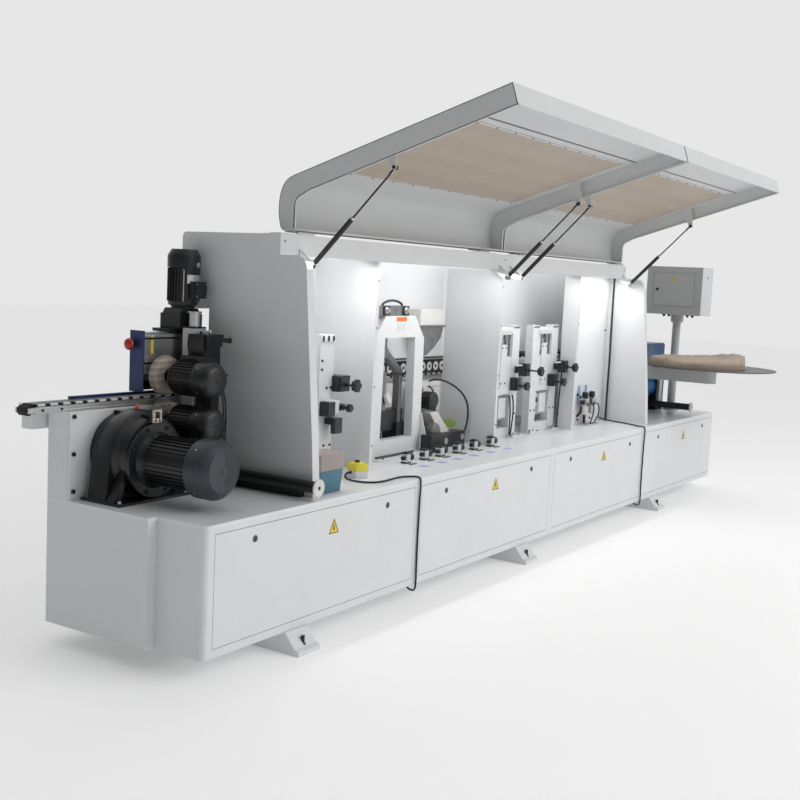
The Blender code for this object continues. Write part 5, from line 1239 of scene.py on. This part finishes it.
def make_portal(number, left, right, knob_x, knob_z, extra):
    """Trimming portal: two posts, a head plate, guides, housings, adjusters and their leads."""
    shape = Shape(0)
    back, top = 0.45, 1.172
    inner_left, inner_right = left + 0.085, right - 0.09
    for span in ((left, inner_left), (inner_right, right)):
        shape.box(span, (0.4, back), (ON_DECK, top))
    shape.box((inner_left, inner_right), (0.4, back), (1.125, 1.16))
    shape.box((inner_left, inner_right), (0.404, back), (0.7601, 0.9849))
    shape.box((inner_left, inner_right), (0.404, back), (ON_DECK, 0.56))
    # Head guide and rear housing in the darker copy of the white paint: painted shade.
    shape.look = 1
    shape.box((inner_left - 0.01, inner_right - 0.03), (0.392, 0.3999), (1.118, 1.142))
    shape.box((left + 0.12, right - 0.11), (0.4501, 0.6), (0.8, 0.95))
    shape.look = 2
    middle = 0.5 * (inner_left + inner_right)
    shape.rod((middle + 0.03, 0.425, 0.9849), (middle + 0.03, 0.425, 1.1248), 0.0065, 16)
    shape.rod((middle + 0.03, 0.425, 1.05), (middle + 0.03, 0.425, 1.085), 0.013, 6)
    shape.look = 3
    shape.box((inner_right - 0.046, inner_right - 0.022), (0.406, 0.43), (0.99, 1.1248))
    shape.box((inner_left + 0.004, inner_left + 0.03), (0.406, 0.43), (0.99, 1.1248))
    shape.look = 0
    shape.box((middle - 0.05, middle + 0.018), (0.396, 0.4035), (0.8, 1.06))
    shape.look = 2
    for x0, x1 in ((left, inner_left), (inner_right, right)):
        for k in range(3):
            shape.screw((x0 + 0.018 + 0.0245 * k, 0.3999, 1.161), FRONT, 0.0062, 0.005, 14)
        for pz in (0.515, 0.64):
            for px in (x0 + 0.02, x1 - 0.02):
                shape.screw((px, 0.3999, pz), FRONT, 0.0055, 0.0045, 14)
    for px, pz in ((middle - 0.04, 1.04), (middle + 0.008, 1.04), (middle - 0.04, 0.83),
            (middle + 0.008, 0.83)):
        shape.screw((px, 0.3959, pz), FRONT, 0.005, 0.004, 14)
    adjuster_shape(shape, (knob_x - 0.033, knob_x + 0.022), (0.3185, 0.3638),
            (knob_z - 0.036, knob_z + 0.04), 4, 2)
    shape.look = 4
    shape.box((knob_x - 0.018, knob_x + 0.012), (0.3639, 0.3998), (knob_z - 0.02, knob_z + 0.02))
    ex, ez = extra
    adjuster_shape(shape, (ex - 0.035, ex + 0.022), (0.358, 0.3998), (ez - 0.036, ez + 0.04), 4, 2)
    shape.look = 4
    fixed_knob(shape, (ex, 0.292, ez - 0.006), 0.023, 0.354)
    shape.rod((knob_x - 0.11, 0.345, knob_z + 0.03), (knob_x - 0.032, 0.345, knob_z + 0.03), 0.005, 14)
    # Lower housings in the darker copy of the white paint: painted shade.
    shape.look = 1
    shape.box((inner_left - 0.06, inner_right), (0.4501, 0.56), (0.6, 0.76))
    shape.box((middle - 0.03, middle + 0.06), (0.406, 0.449), (0.62, 0.74))
    shape.solid((middle - 0.06, 0.456, 0.7), FRONT, ((0.0, 0.04), (0.03, 0.042), (0.04, 0.04)), 32)
    shape.look = 4
    shape.solid((middle - 0.06, 0.415, 0.7), FRONT, ((0.0, 0.018), (0.006, 0.018)), 24)
    shape.solid((middle + 0.04, 0.54, 0.82), (0, -0.2, 1), ((0.0, 0.035), (0.11, 0.035), (0.12, 0.025)), 28)
    shape.look = 0
    shape.box((left - 0.04, left + 0.1), (0.36, 0.3998), (ON_DECK, 0.51))
    shape.box((inner_right - 0.01, right + 0.02), (0.36, 0.3998), (ON_DECK, 0.51))
    shape.look = 2
    for px in (left - 0.025, left + 0.085, inner_right + 0.004, right + 0.006):
        shape.screw((px, 0.375, 0.5101), UP, 0.0065, 0.006, 14)
    shape.done(f"trim_unit_{number}", "frame", [WHITE, WHITE_IN_SHADE, ZINC, ALUMINIUM, BLACK],
            (f"trim_portal_{number}",), bevel=0.001)


def adjuster_shape(shape, x, y, z, black, steel):
    """Square adjuster block with a face plate and four screws."""
    shape.look = black
    shape.box(x, y, z)
    shape.box((x[0] + 0.006, x[1] - 0.006), (y[0] - 0.004, y[0] + 0.001), (z[0] + 0.006, z[1] - 0.006))
    shape.look = steel
    for px in (x[0] + 0.005, x[1] - 0.005):
        for pz in (z[0] + 0.005, z[1] - 0.005):
            shape.screw((px, y[0] - 0.0001, pz), FRONT, 0.003, 0.002, 12)


def make_portal_leads():
    """Leads that hang from the trimming units."""
    leads = ((0.0045, ((3.02, 0.384, 0.758), (3.021, 0.378, 0.735), (3.026, 0.374, 0.68),
                       (3.03, 0.374, 0.62), (3.034, 0.376, 0.56), (3.036, 0.378, 0.515))),
             (0.0045, ((3.06, 0.384, 0.758), (3.062, 0.378, 0.735), (3.066, 0.374, 0.68),
                       (3.06, 0.372, 0.62), (3.054, 0.374, 0.56), (3.052, 0.377, 0.515))),
             (0.005, ((3.65, 0.342, 0.87), (3.651, 0.343, 0.848), (3.653, 0.348, 0.77),
                       (3.653, 0.352, 0.68), (3.65, 0.354, 0.6), (3.648, 0.356, 0.52))))
    for number, (radius, route) in enumerate(leads, start=1):
        hose(f"trim_lead_{number}", route, radius, CABLE, 4)


AIR_CUPS = (4.04, 4.15)


def make_air_and_wall():
    """Air preparation set, its tubes, the deflector sheet and the bolts of the last compartment."""
    shape = Shape(0)
    shape.look = 3
    shape.box((3.99, 4.17), (0.29, 0.37), (ON_DECK, 0.512))
    shape.look = 0
    shape.box((4.085, 4.105), (0.355, 0.368), (0.5121, 0.668))
    for x in AIR_CUPS:
        shape.look = 3
        shape.box((x - 0.029, x + 0.029), (0.3185, 0.36), (0.6325, 0.6795))
        shape.look = 0
        shape.turned((x, 0.339, 0.6796), UP, ((0.0, 0.0), (0.0, 0.016), (0.008, 0.016), (0.008, 0.021),
                (0.014, 0.0215), (0.038, 0.0205), (0.042, 0.0185), (0.045, 0.0)), 32)
        shape.look = 2
        shape.solid((x, 0.339, 0.6324), DOWNWARD, ((0.0, 0.017), (0.05, 0.017), (0.063, 0.01)), 28)
        shape.look = 0
        shape.solid((x, 0.339, 0.642), FRONT, ((0.0206, 0.013), (0.023, 0.013)), 24)
    shape.look = 0
    shape.box((4.0695, 4.1205), (0.324, 0.356), (0.64, 0.672))
    shape.box((4.1795, 4.2), (0.326, 0.352), (0.636, 0.672))
    shape.box((3.99, 4.0105), (0.326, 0.352), (0.64, 0.67))
    shape.box((4.05, 4.15), (0.296, 0.308), (0.5121, 0.516))
    shape.look = 1
    shape.screw((4.0, 0.3, 0.5121), UP, 0.006, 0.005, 14)
    shape.done("air_set", "frame", [PLASTIC, ZINC, PALE_GREY, ALUMINIUM], ("air_unit",),
            bevel=0.001)
    wall = Shape(0)
    for x, z in ((4.033, 0.532), (4.233, 0.53), (4.379, 0.531)):
        wall.screw((x, 0.3848, z), FRONT, 0.008, 0.007, 16)
    wall.screw((4.408, 0.3848, 1.13), FRONT, 0.005, 0.008, 14)
    wall.done("wall_bolts", "frame", [PLASTIC])
    sheet = Shape(0)
    bend = ((3.74, 1.306), (3.73, 1.301), (3.764, 1.18), (3.79, 1.09), (3.77, 1.056), (3.718, 1.056),
            (3.718, 1.059), (3.767, 1.059), (3.786, 1.091), (3.76, 1.18), (3.7256, 1.302), (3.737, 1.31))
    sheet.prism([(x + 0.006, z) for x, z in bend], "Y", (0.305, 0.37))
    # Deflector sheet in the darker copy of the white paint: painted shade.
    sheet.done("deflector", "frame", [WHITE_IN_SHADE])
    hose("air_hose_1", ((4.0, 0.3785, 0.705), (4.018, 0.377, 0.7), (4.052, 0.376, 0.684),
            (4.072, 0.375, 0.655), (4.08, 0.375, 0.625), (4.07, 0.3755, 0.595), (4.045, 0.376, 0.57),
            (4.01, 0.3765, 0.556)), 0.0065, CABLE, 5)
    hose("air_hose_2", ((4.1, 0.318, 0.645), (4.104, 0.306, 0.64), (4.104, 0.299, 0.61),
            (4.09, 0.297, 0.57), (4.072, 0.299, 0.535), (4.064, 0.302, 0.521)), 0.0045, CABLE, 4)
    hose("air_hose_3", ((4.192, 0.321, 0.64), (4.196, 0.309, 0.634), (4.196, 0.3, 0.605),
            (4.18, 0.297, 0.566), (4.15, 0.299, 0.533), (4.138, 0.303, 0.521)), 0.0045, CABLE, 4)
    for number, x in enumerate(AIR_CUPS, start=1):
        hose(f"blue_tube_{number}", ((x - 0.022, 0.3655, 0.65), (x - 0.026, 0.372, 0.67),
                (x - 0.024, 0.3745, 0.71), (x - 0.018, 0.375, 0.74), (x - 0.012, 0.377, 0.762)), 0.006,
                CLEAR_BLUE, 4)


HAND_VALVES = (1.756, 1.929, 2.086, 2.263, 2.444, 2.638)


def make_valves():
    """Six hand valves in a row along the front of the deck, each with a blank label."""
    body = Shape(0)
    for x in HAND_VALVES:
        body.look = 0
        body.box((x - 0.02, x + 0.016), (0.268, 0.3), (0.508, 0.548))
        body.look = 1
        body.solid((x + 0.0165, 0.284, 0.528), RIGHT, ((0.0, 0.013), (0.006, 0.013), (0.008, 0.018),
                (0.03, 0.019), (0.034, 0.016)), 26)
        body.solid((x - 0.0205, 0.284, 0.528), LEFT, ((0.0, 0.011), (0.014, 0.011), (0.016, 0.008)), 22)
        body.box((x - 0.022, x + 0.018), (0.266, 0.302), (0.5481, 0.556))
        body.box((x - 0.022, x + 0.018), (0.266, 0.302), (ON_DECK, 0.5079))
        body.look = 2
        body.solid((x - 0.002, 0.284, 0.5561), UP, ((0.0, 0.006), (0.004, 0.006)), 18)
        body.box((x - 0.03, x + 0.026), (0.235, 0.25), (0.5003, 0.503))
    body.look = 3
    for x in HAND_VALVES:
        body.box((x - 0.035, x + 0.02), (0.15, 0.195), (0.5002, 0.5007))
    body.done("hand_valves", "frame", [ALUMINIUM, PLASTIC, ZINC, LABEL_BLUE], bevel=0.001)


def rounded(xs, ys, radius, steps):
    """Rectangle with rounded corners, as points in a plane."""
    points = []
    for x, y, start in ((xs[1] - radius, ys[1] - radius, 0), (xs[0] + radius, ys[1] - radius, 90),
                        (xs[0] + radius, ys[0] + radius, 180), (xs[1] - radius, ys[0] + radius, 270)):
        for k in range(steps + 1):
            a = math.radians(start + 90.0 / steps * k)
            points.append((x + radius * math.cos(a), y + radius * math.sin(a)))
    return points


def make_tank():
    """Release agent tank: brown-grey upper part, teal base."""
    shape = Shape(0)
    low = 0.5004
    tall = 0.168

    def ring(z):
        t = (z - low) / 0.169
        return ((0.7685 - 0.011 * t, 0.9245 + 0.015 * t), (0.0785 - 0.008 * t, 0.1795 + 0.006 * t))

    def layer(z0, z1):
        count = len(shape.bm.faces)
        loops = [[shape.bm.verts.new((*point, z)) for point in rounded(*ring(z), 0.014, 6)] for z in (z0,
                z1)]
        shape.bridge(loops)
        shape.bm.faces.new(loops[0])
        shape.bm.faces.new(loops[1])
        shape.mark(count)

    layer(low, low + 0.096)
    shape.look = 1
    layer(low + 0.0961, low + tall)
    shape.done("agent_tank", "frame", [TEAL, TAUPE], ("fluid_tank",), bevel=0.002)


def station_point(along, across):
    """Point of the push-button box, which lies turned on the deck."""
    turn = math.radians(-18.7)
    return (1.194 + along * math.cos(turn) - across * math.sin(turn),
            0.195 + along * math.sin(turn) + across * math.cos(turn))


def make_button_station():
    """Pale base, yellow lid with a raised ring round its button, lid screws and a cable gland."""
    low = 0.5003
    length, width = 0.072, 0.08
    shape = Shape(1)

    def layer(z0, z1, inset):
        loop = rounded((inset, length - inset), (inset, width - inset), 0.006, 5)
        shape.prism([station_point(*point) for point in loop], "Z", (z0, z1))

    layer(low + 0.0004, low + 0.034, 0.0008)
    shape.look = 0
    layer(low + 0.0344, low + 0.066, 0.0004)
    centre = station_point(0.5 * length, 0.5 * width)
    shape.turned(centre + (low + 0.0661,), UP, ((0.0, 0.014), (0.0, 0.02), (0.003, 0.02), (0.0036, 0.019),
            (0.0036, 0.014)), 32)
    shape.look = 2
    for along in (0.008, length - 0.008):
        for across in (0.008, width - 0.008):
            shape.screw(station_point(along, across) + (low + 0.0661,), UP, 0.003, 0.002, 12)
    shape.turned(station_point(0.0003, 0.5 * width) + (low + 0.0257,), (-0.9472, 0.3206, 0),
            ((0.0, 0.0054), (0.0, 0.0085), (0.0004, 0.0085), (0.0004, 0.0054)), 20)
    shape.done("button_station", "frame", [YELLOW, PALE_GREY, PLASTIC], ("button_box",),
            bevel=0.0015)
    cap = Shape(0)
    cap.solid(centre + (low + 0.0563,), UP, ((0.0, 0.0116), (0.02, 0.0116), (0.0225, 0.0108),
            (0.024, 0.008)), 32)
    cap.done("station_cap", "push_button", [PLASTIC], ("box_button",))


# ------------------------------------------------------------------ infeed end
def make_glue():
    """Gluing unit: black body and plate, covered blue pot, finned blue motor."""
    shape = Shape(0)
    shape.box((5.4505, 5.5995), (0.3625, 0.5995), (ON_DECK, 0.7715))
    shape.box((5.2165, 5.3495), (0.4005, 0.5195), (ON_DECK, 0.6))
    shape.look = 1
    shape.box((5.2155, 5.5715), (0.3645, 0.6195), (0.7725, 1.01))
    shape.box((5.22, 5.566), (0.37, 0.614), (1.0101, 1.0195))
    shape.look = 0
    for k in range(6):
        shape.box((5.24 + 0.05 * k, 5.268 + 0.05 * k), (0.3642, 0.3646), (0.792, 0.86))
    shape.look = 2
    centre = Vector((0, 0.462, 0.686))
    shape.solid((5.2175, 0.462, 0.686), RIGHT, ((0.0, 0.07), (0.004, 0.084), (0.012, 0.089), (0.06, 0.0895),
            (0.06, 0.082), (0.225, 0.082), (0.225, 0.0895), (0.2325, 0.0895)), 56)
    for k in range(36):
        fin = Matrix.Translation(centre) @ Matrix.Rotation(math.radians(10.0 * k), 4, "X")
        shape.block(fin, (5.36, 0.085, 0.0), (0.164, 0.008, 0.003))
    shape.look = 0
    shape.box((5.25, 5.29), (0.372, 0.42), (0.764, 0.7724))
    shape.look = 3
    shape.box((5.506, 5.57), (0.3618, 0.3624), (0.55, 0.74))
    shape.look = 4
    for px, pz in ((5.462, 0.755), (5.588, 0.755), (5.462, 0.52), (5.588, 0.52)):
        shape.screw((px, 0.3625, pz), FRONT, 0.006, 0.0005, 14)
    shape.done("glue_station", "frame", [BLACK, NAVY_BLUE, BLUE, PALE_GREY, ZINC], ("glue_unit",),
            bevel=0.002)


DISC_CENTRE = (5.15, -0.15, 0.88)
COIL_REACHES = (0.335, 0.337, 0.33, 0.3, 0.262, 0.226, 0.19, 0.15, 0.105, 0.06, 0.025)


def make_tape_details():
    """Pads on the arm, the turning disc and the loose coil of edging on it."""
    arm = Shape(0)
    for y in (-0.12, 0.24):
        arm.look = 0
        arm.box((5.112, 5.188), (y - 0.022, y + 0.022), (0.8582, 0.87))
    arm.look = 1
    arm.box((5.1, 5.2), (-0.06, 0.2), (0.8582, 0.8625))
    for y in (-0.04, 0.06, 0.18):
        arm.screw((5.15, y, 0.8626), UP, 0.006, 0.005, 14)
    arm.done("arm_pads", "frame", [PLASTIC, ALUMINIUM], bevel=0.001)
    disc = Shape(0)
    x, y, z = DISC_CENTRE
    disc.solid((x, y, z), UP, ((0.0, 0.448), (0.0015, 0.4498), (0.0065, 0.4498), (0.008, 0.448)), 128)
    disc.look = 1
    disc.solid((x, y, z + 0.0081), UP, ((0.0, 0.0448), (0.066, 0.0448), (0.0698, 0.04)), 40)
    for k in range(4):
        a = math.radians(45.0 + 90.0 * k)
        disc.screw((x + 0.028 * math.cos(a), y + 0.028 * math.sin(a), z + 0.0779), UP, 0.005,
                0.0001 + 0.0002, 12)
    disc.done("coil_disc", "coil_table", [DISC, GREY_PLASTIC], ("tape_disc",))
    coil = Shape(0)
    bm = coil.bm
    centre_x, centre_y = x - 0.062, y + 0.092
    sides = 120
    rings = []
    for level, reach in enumerate(COIL_REACHES):
        ring = []
        for k in range(sides):
            a = 2.0 * math.pi * k / sides
            toward = max(0.0, math.cos(a + 1.0))
            fold = noise.noise(Vector((math.cos(a) * 2.3, math.sin(a) * 2.3, 0.9 * level)))
            crease = abs(noise.noise(Vector((math.cos(a) * 5.0 * reach * 8.0,
                    math.sin(a) * 5.0 * reach * 8.0, 4.0))))
            radius = reach * (1.0 + 0.012 * fold) if level else reach
            height = 0.0083 if level == 0 else 0.05 + 0.012 * fold + 0.014 * crease
            if level > 1:
                height += 0.042 * toward ** 2 * math.sin(math.pi * min(1.0,
                        level / 6.0)) + 0.026 * (level / 10.0) ** 0.5
            ring.append(bm.verts.new((centre_x + radius * math.cos(a), centre_y + radius * math.sin(a),
                    z + height)))
        rings.append(ring)
    coil.bridge(rings)
    bm.faces.new(rings[-1])
    bm.faces.new(list(reversed(rings[0])))
    coil.mark(0)
    coil.look = 1
    for k, radius in enumerate((0.338, 0.3384, 0.338, 0.3384, 0.338)):
        coil.turned((centre_x, centre_y, z + 0.012 + 0.0075 * k), UP,
                ((0.0, radius - 0.003), (0.0, radius), (0.003, radius), (0.003, radius - 0.003)), 120)
    coil.done("edging_coil", "coil_table", [KRAFT, PAPER_EDGE], angle=40.0)


def make_control_details():
    """Inset door with its lock and sign, glands under the box, post collar."""
    door = Shape(0)
    front = 5.4998
    door.box((front - 0.003, front), (0.148, 0.457), (1.315, 1.557))
    door.look = 1
    door.solid((front - 0.003, 0.431, 1.436), LEFT, ((0.0, 0.011), (0.004, 0.011), (0.006, 0.009)), 24)
    door.box((front - 0.013, front - 0.0091), (0.428, 0.434), (1.428, 1.444))
    door.look = 2
    sign = ((0.285, 1.506), (0.325, 1.506), (0.305, 1.542))
    door.prism(sign, "X", (front - 0.0036, front - 0.0031))
    door.look = 3
    door.prism(((0.3015, 1.5135), (0.3085, 1.5135), (0.306, 1.53), (0.304, 1.53)), "X",
            (front - 0.004, front - 0.0037))
    door.done("box_door_face", "box_door", [BOX_GREY, PLASTIC, SIGN, INK], bevel=0.001)
    glands = Shape(0)
    for y in (0.16, 0.2, 0.346, 0.387):
        glands.solid((5.56, y, 1.2448), DOWNWARD, ((0.0, 0.013), (0.006, 0.013), (0.006, 0.01),
                (0.014, 0.009), (0.017, 0.0065)), 20)
    glands.done("box_glands", "frame", [PLASTIC])
    panel = Shape(0)
    panel.box((5.503, 5.749), (0.0815, 0.0828), (1.248, 1.609))
    panel.look = 1
    panel.box((5.612, 5.634), (0.0808, 0.0814), (1.53, 1.542))
    panel.done("box_side_sheet", "frame", [PALE_GREY, INK], bevel=0.001)
    collar = Shape(0)
    collar.turned((5.62, 0.3, 0.5104), UP, ((0.0, 0.0312), (0.0, 0.06), (0.001, 0.06), (0.001, 0.0312)), 40)
    for k in range(4):
        a = math.radians(45.0 + 90.0 * k)
        collar.screw((5.62 + 0.046 * math.cos(a), 0.3 + 0.046 * math.sin(a), 0.5115), UP, 0.006, 0.0055, 14)
    collar.done("post_bolts", "frame", [ZINC])


def make_support():
    """Panel support: pale rail with black sliding tubes ending in white discs."""
    shape = Shape(0)
    rail_y = (0.806, 0.866)
    for y in ((rail_y[0], rail_y[0] + 0.004), (rail_y[1] - 0.004, rail_y[1])):
        shape.box((-0.115, 5.6), y, (0.7704, 0.854))
    shape.box((-0.115, 5.6), rail_y, (0.854, 0.858))
    shape.box((-0.115, -0.111), (0.8101, 0.8619), (0.7704, 0.8539))
    shape.box((5.596, 5.6), (0.8101, 0.8619), (0.7704, 0.8539))
    for x in (0.66, 5.4):
        shape.box((x - 0.03, x + 0.03), (0.8101, 0.8619), (0.52, 0.8539))
    shape.look = 1
    for x, front in ((0.66, -0.003), (5.4, 0.06)):
        length = 0.8065 - front
        shape.turned((x, front + 0.009, 0.555), BACK, ((0.0, 0.0), (0.0, 0.024), (0.001, 0.025),
                (length, 0.025), (length, 0.0)), 40)
        shape.look = 2
        shape.solid((x, front, 0.555), BACK, ((0.0, 0.035), (0.0015, 0.0365), (0.007, 0.0365),
                (0.0085, 0.035)), 44)
        shape.look = 3
        shape.screw((x, front - 0.0001, 0.555), FRONT, 0.0085, 0.0003, 18)
        shape.look = 1
    # Thin strips on the rail top in the darker copy of the white paint: painted shade.
    shape.look = 4
    count = 40
    for k in range(count):
        x = -0.08 + 5.64 * k / (count - 1)
        shape.box((x - 0.04, x + 0.04), (0.808, 0.864), (0.85805, 0.8584))
    shape.done("support_rail", "panel_support", [WHITE, BLACK, NYLON, PLASTIC, WHITE_IN_SHADE], ("outrigger",),
            bevel=0.001)


# ------------------------------------------------------------------ doors, shoes and labels
def make_door_details():
    """Two locks and a blank warning triangle on each cabinet door."""
    locks = ((0.273, 1.174), (1.684, 2.597), (3.112, 4.035), (4.559, 5.503))
    signs = (0.775, 2.186, 3.61, 5.081)
    for number in range(4):
        shape = Shape(0)
        for x in locks[number]:
            shape.look = 0
            shape.solid((x, -0.0001, 0.412), FRONT, ((0.0, 0.0135), (0.002, 0.013), (0.0026, 0.011)), 28)
            shape.look = 1
            shape.box((x - 0.0022, x + 0.0022), (-0.0034, -0.0027), (0.4035, 0.4205))
        x, z = signs[number], 0.383
        shape.look = 2
        shape.prism(((x - 0.034, z - 0.032), (x + 0.034, z - 0.032), (x, z + 0.03)), "Y",
                (-0.0006, -0.0001))
        shape.look = 3
        shape.prism(((x - 0.034, z - 0.032), (x - 0.03, z - 0.032), (x, z + 0.0235), (x + 0.03, z - 0.032),
                (x + 0.034, z - 0.032), (x, z + 0.03)), "Y", (-0.001, -0.0007))
        shape.prism(((x - 0.03, z - 0.032), (x + 0.03, z - 0.032), (x + 0.028, z - 0.0285),
                (x - 0.028, z - 0.0285)), "Y", (-0.001, -0.0007))
        shape.prism(((x - 0.0045, z - 0.019), (x + 0.0045, z - 0.019), (x + 0.003, z + 0.006),
                (x - 0.003, z + 0.006)), "Y", (-0.001, -0.0007))
        shape.done(f"door_marks_{number + 1}", f"door_{number + 1}", [ZINC, INK, SIGN, INK])


def make_feet():
    """Levelling bolts with nuts and pads."""
    shape = Shape(0)
    for x in (0.535, 2.508, 4.504):
        for y in (-0.045, 0.825):
            shape.look = 0
            shape.rod((x, y, -0.061), (x, y, -0.018), 0.008, 18)
            shape.rod((x, y, -0.0608), (x, y, -0.048), 0.014, 6)
            shape.look = 1
            shape.rod((x, y, -0.0655), (x, y, -0.0611), 0.017, 24)
    shape.done("levelling_bolts", "frame", [PLASTIC, ZINC])


def make_panel_details():
    """Screws along shields and partitions, lamp tubes under the roof."""
    shape = Shape(0)
    for z in (0.62, 0.9, 1.18, 1.4):
        for x in (1.4235, 2.6625, 3.7165):
            shape.screw((x + 0.013, 0.2799, z), FRONT, 0.004, 0.0022, 12)
    for y in (0.56, 0.3):
        shape.screw((0.7019, y, 0.53), LEFT, 0.0065, 0.005, 14)
    shape.done("panel_screws", "frame", [ZINC])
    for number, (left, right) in enumerate(((0.8, 1.38), (1.5, 2.6), (2.72, 3.66), (3.78, 4.38)), start=1):
        lamp = Shape(0)
        lamp.rod((left, 0.45, 1.535), (right, 0.45, 1.535), 0.013, 20)
        lamp.look = 1
        lamp.box((left - 0.01, right + 0.01), (0.43, 0.47), (1.55, 1.5615))
        for x in (left - 0.002, right + 0.002):
            lamp.rod((x - 0.008, 0.45, 1.535), (x + 0.008, 0.45, 1.535), 0.0145, 20)
            lamp.box((x - 0.006, x + 0.006), (0.445, 0.455), (1.535, 1.552))
        lamp.done(f"lamp_{number}", "frame", [LED, NYLON])


# ------------------------------------------------------------------ CAD nodes that stay
def dress_cad():
    """Looks and rounded edges for the CAD nodes that stay in view."""
    plain = {
        WHITE: ("base_frame", "cabinet_shell", "rear_column", "shield_left", "shield_right", "divider_1",
                "divider_2", "divider_3", "header_beam", "rear_cover", "cabinet_door_1", "cabinet_door_2",
                "cabinet_door_3", "cabinet_door_4", "corner_arch"),
        DECK_WHITE: ("deck_plate",),
        BOX_GREY: ("control_box", "control_door", "tape_arm"),
        ALUMINIUM: ("conveyor_track",),
    }
    widths = {"base_frame": 0.003, "cabinet_shell": 0.0015, "deck_plate": 0.003, "rear_column": 0.002,
              "shield_left": 0.0, "shield_right": 0.0, "corner_arch": 0.002, "control_box": 0.003,
              "tape_arm": 0.003, "conveyor_track": 0.001}
    for look, names in plain.items():
        for name in names:
            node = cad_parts[name]
            node.data.materials.clear()
            node.data.materials.append(look)
            width = widths.get(name, 0.001)
            if width > 0.0:
                soften(node, width)


def make_stage():
    """Pale floor, and light that is weakest from the exit end."""
    floor = bpy.data.meshes.new("floor")
    half = 30.0
    floor.from_pydata([(-half, -half, 0.0), (half, -half, 0.0), (half, half, 0.0), (-half, half, 0.0)], [],
                      [(0, 1, 2, 3)])
    pale = surface("floor_pale", (0.88, 0.88, 0.88), 0.7, vary=0.01, patch=2.0)
    principled = next(n for n in pale.node_tree.nodes if n.type == "BSDF_PRINCIPLED")
    principled.inputs["Emission Color"].default_value = (1.0, 1.0, 1.0, 1.0)
    principled.inputs["Emission Strength"].default_value = 0.2
    floor.materials.append(pale)
    ground = bpy.data.objects.new("floor", floor)
    bpy.context.scene.collection.objects.link(ground)
    world = bpy.data.worlds.new("studio")
    bpy.context.scene.world = world
    world.use_nodes = True
    tree = world.node_tree
    back = tree.nodes["Background"]
    where = add_node(tree, "ShaderNodeTexCoord")
    dot = add_node(tree, "ShaderNodeVectorMath", operation="DOT_PRODUCT")
    dot.inputs[1].default_value = Vector((0.93, 0.05, 0.36)).normalized()
    tree.links.new(where.outputs["Generated"], dot.inputs[0])
    reach = add_node(tree, "ShaderNodeMapRange", {"From Min": -0.55, "From Max": 0.35, "To Min": 0.13,
            "To Max": 0.8})
    tree.links.new(dot.outputs["Value"], reach.inputs["Value"])
    tree.links.new(reach.outputs["Result"], back.inputs["Strength"])
    back.inputs["Color"].default_value = (1.0, 1.0, 1.0, 1.0)


def area_light(name, place, target, size, size_y, watts):
    """Rectangular light aimed at a point."""
    data = bpy.data.lights.new(name, "AREA")
    data.shape = "RECTANGLE"
    data.size = size
    data.size_y = size_y
    data.energy = watts
    made = bpy.data.objects.new(name, data)
    bpy.context.scene.collection.objects.link(made)
    made.location = Vector(place) + SHIFT
    made.rotation_euler = (Vector(target) - Vector(place)).to_track_quat("-Z", "Y").to_euler()
    return made


def make_lights():
    """One soft key light and a lamp over each compartment."""
    area_light("key", (4.0, -6.0, 4.6), (2.6, 0.2, 0.7), 5.0, 3.0, 150.0)
    for number, (left, right) in enumerate(((0.72, 1.41), (1.43, 2.65), (2.67, 3.7), (3.73, 4.43)),
            start=1):
        middle = 0.5 * (left + right)
        area_light(f"inner_{number}", (middle, 0.24, 1.47), (middle, 0.42, 0.6), right - left - 0.1, 0.08,
                2.2)


def make_pieces():
    """All pieces, hood by hood and then from the exit end to the infeed end."""
    for number in (1, 2):
        make_hood(number)
        make_hood_window(number)
        make_hood_trim(number)
    make_struts()
    make_header_trim()
    make_lift_motor()
    make_estop()
    make_beam()
    make_rollers()
    make_chain()
    make_return_roller()
    make_drive()
    make_drive_motor()
    buffing_motor("buff_drive_upper", BUFF_UPPER, "buff_motor_upper", True)
    buffing_motor("buff_drive_lower", BUFF_LOWER, "buff_motor_lower", False)
    make_wheel("cotton_upper", BUFF_UPPER, "buff_upper", "buff_wheel_upper")
    make_wheel("cotton_lower", BUFF_LOWER, "buff_lower", "buff_wheel_lower")
    make_exit_trim()
    make_scraper()
    star_knob("scraper_hand_knob", "knob_scraper", "scraper_knob", (1.25, 0.24, 0.918), 0.0265, 0.3096)
    make_arch_details()
    make_hopper()
    make_portal(1, 2.79, 3.15, 3.125, 0.908, (3.09, 0.82))
    make_portal(2, 3.33, 3.69, 3.665, 0.908, (3.605, 0.82))
    star_knob("trim_hand_knob_1", "knob_trim_1", "trim_knob_1", (3.125, 0.222, 0.908), 0.0255, 0.3175)
    star_knob("trim_hand_knob_2", "knob_trim_2", "trim_knob_2", (3.665, 0.245, 0.908), 0.0255, 0.3175)
    make_portal_leads()
    make_air_and_wall()
    make_valves()
    make_tank()
    make_button_station()
    make_glue()
    make_tape_details()
    make_control_details()
    make_support()
    make_door_details()
    make_feet()
    make_panel_details()


def main():
    """Build the whole scene."""
    make_camera()
    make_cables()
    make_pieces()
    dress_cad()
    make_stage()
    make_lights()


main()
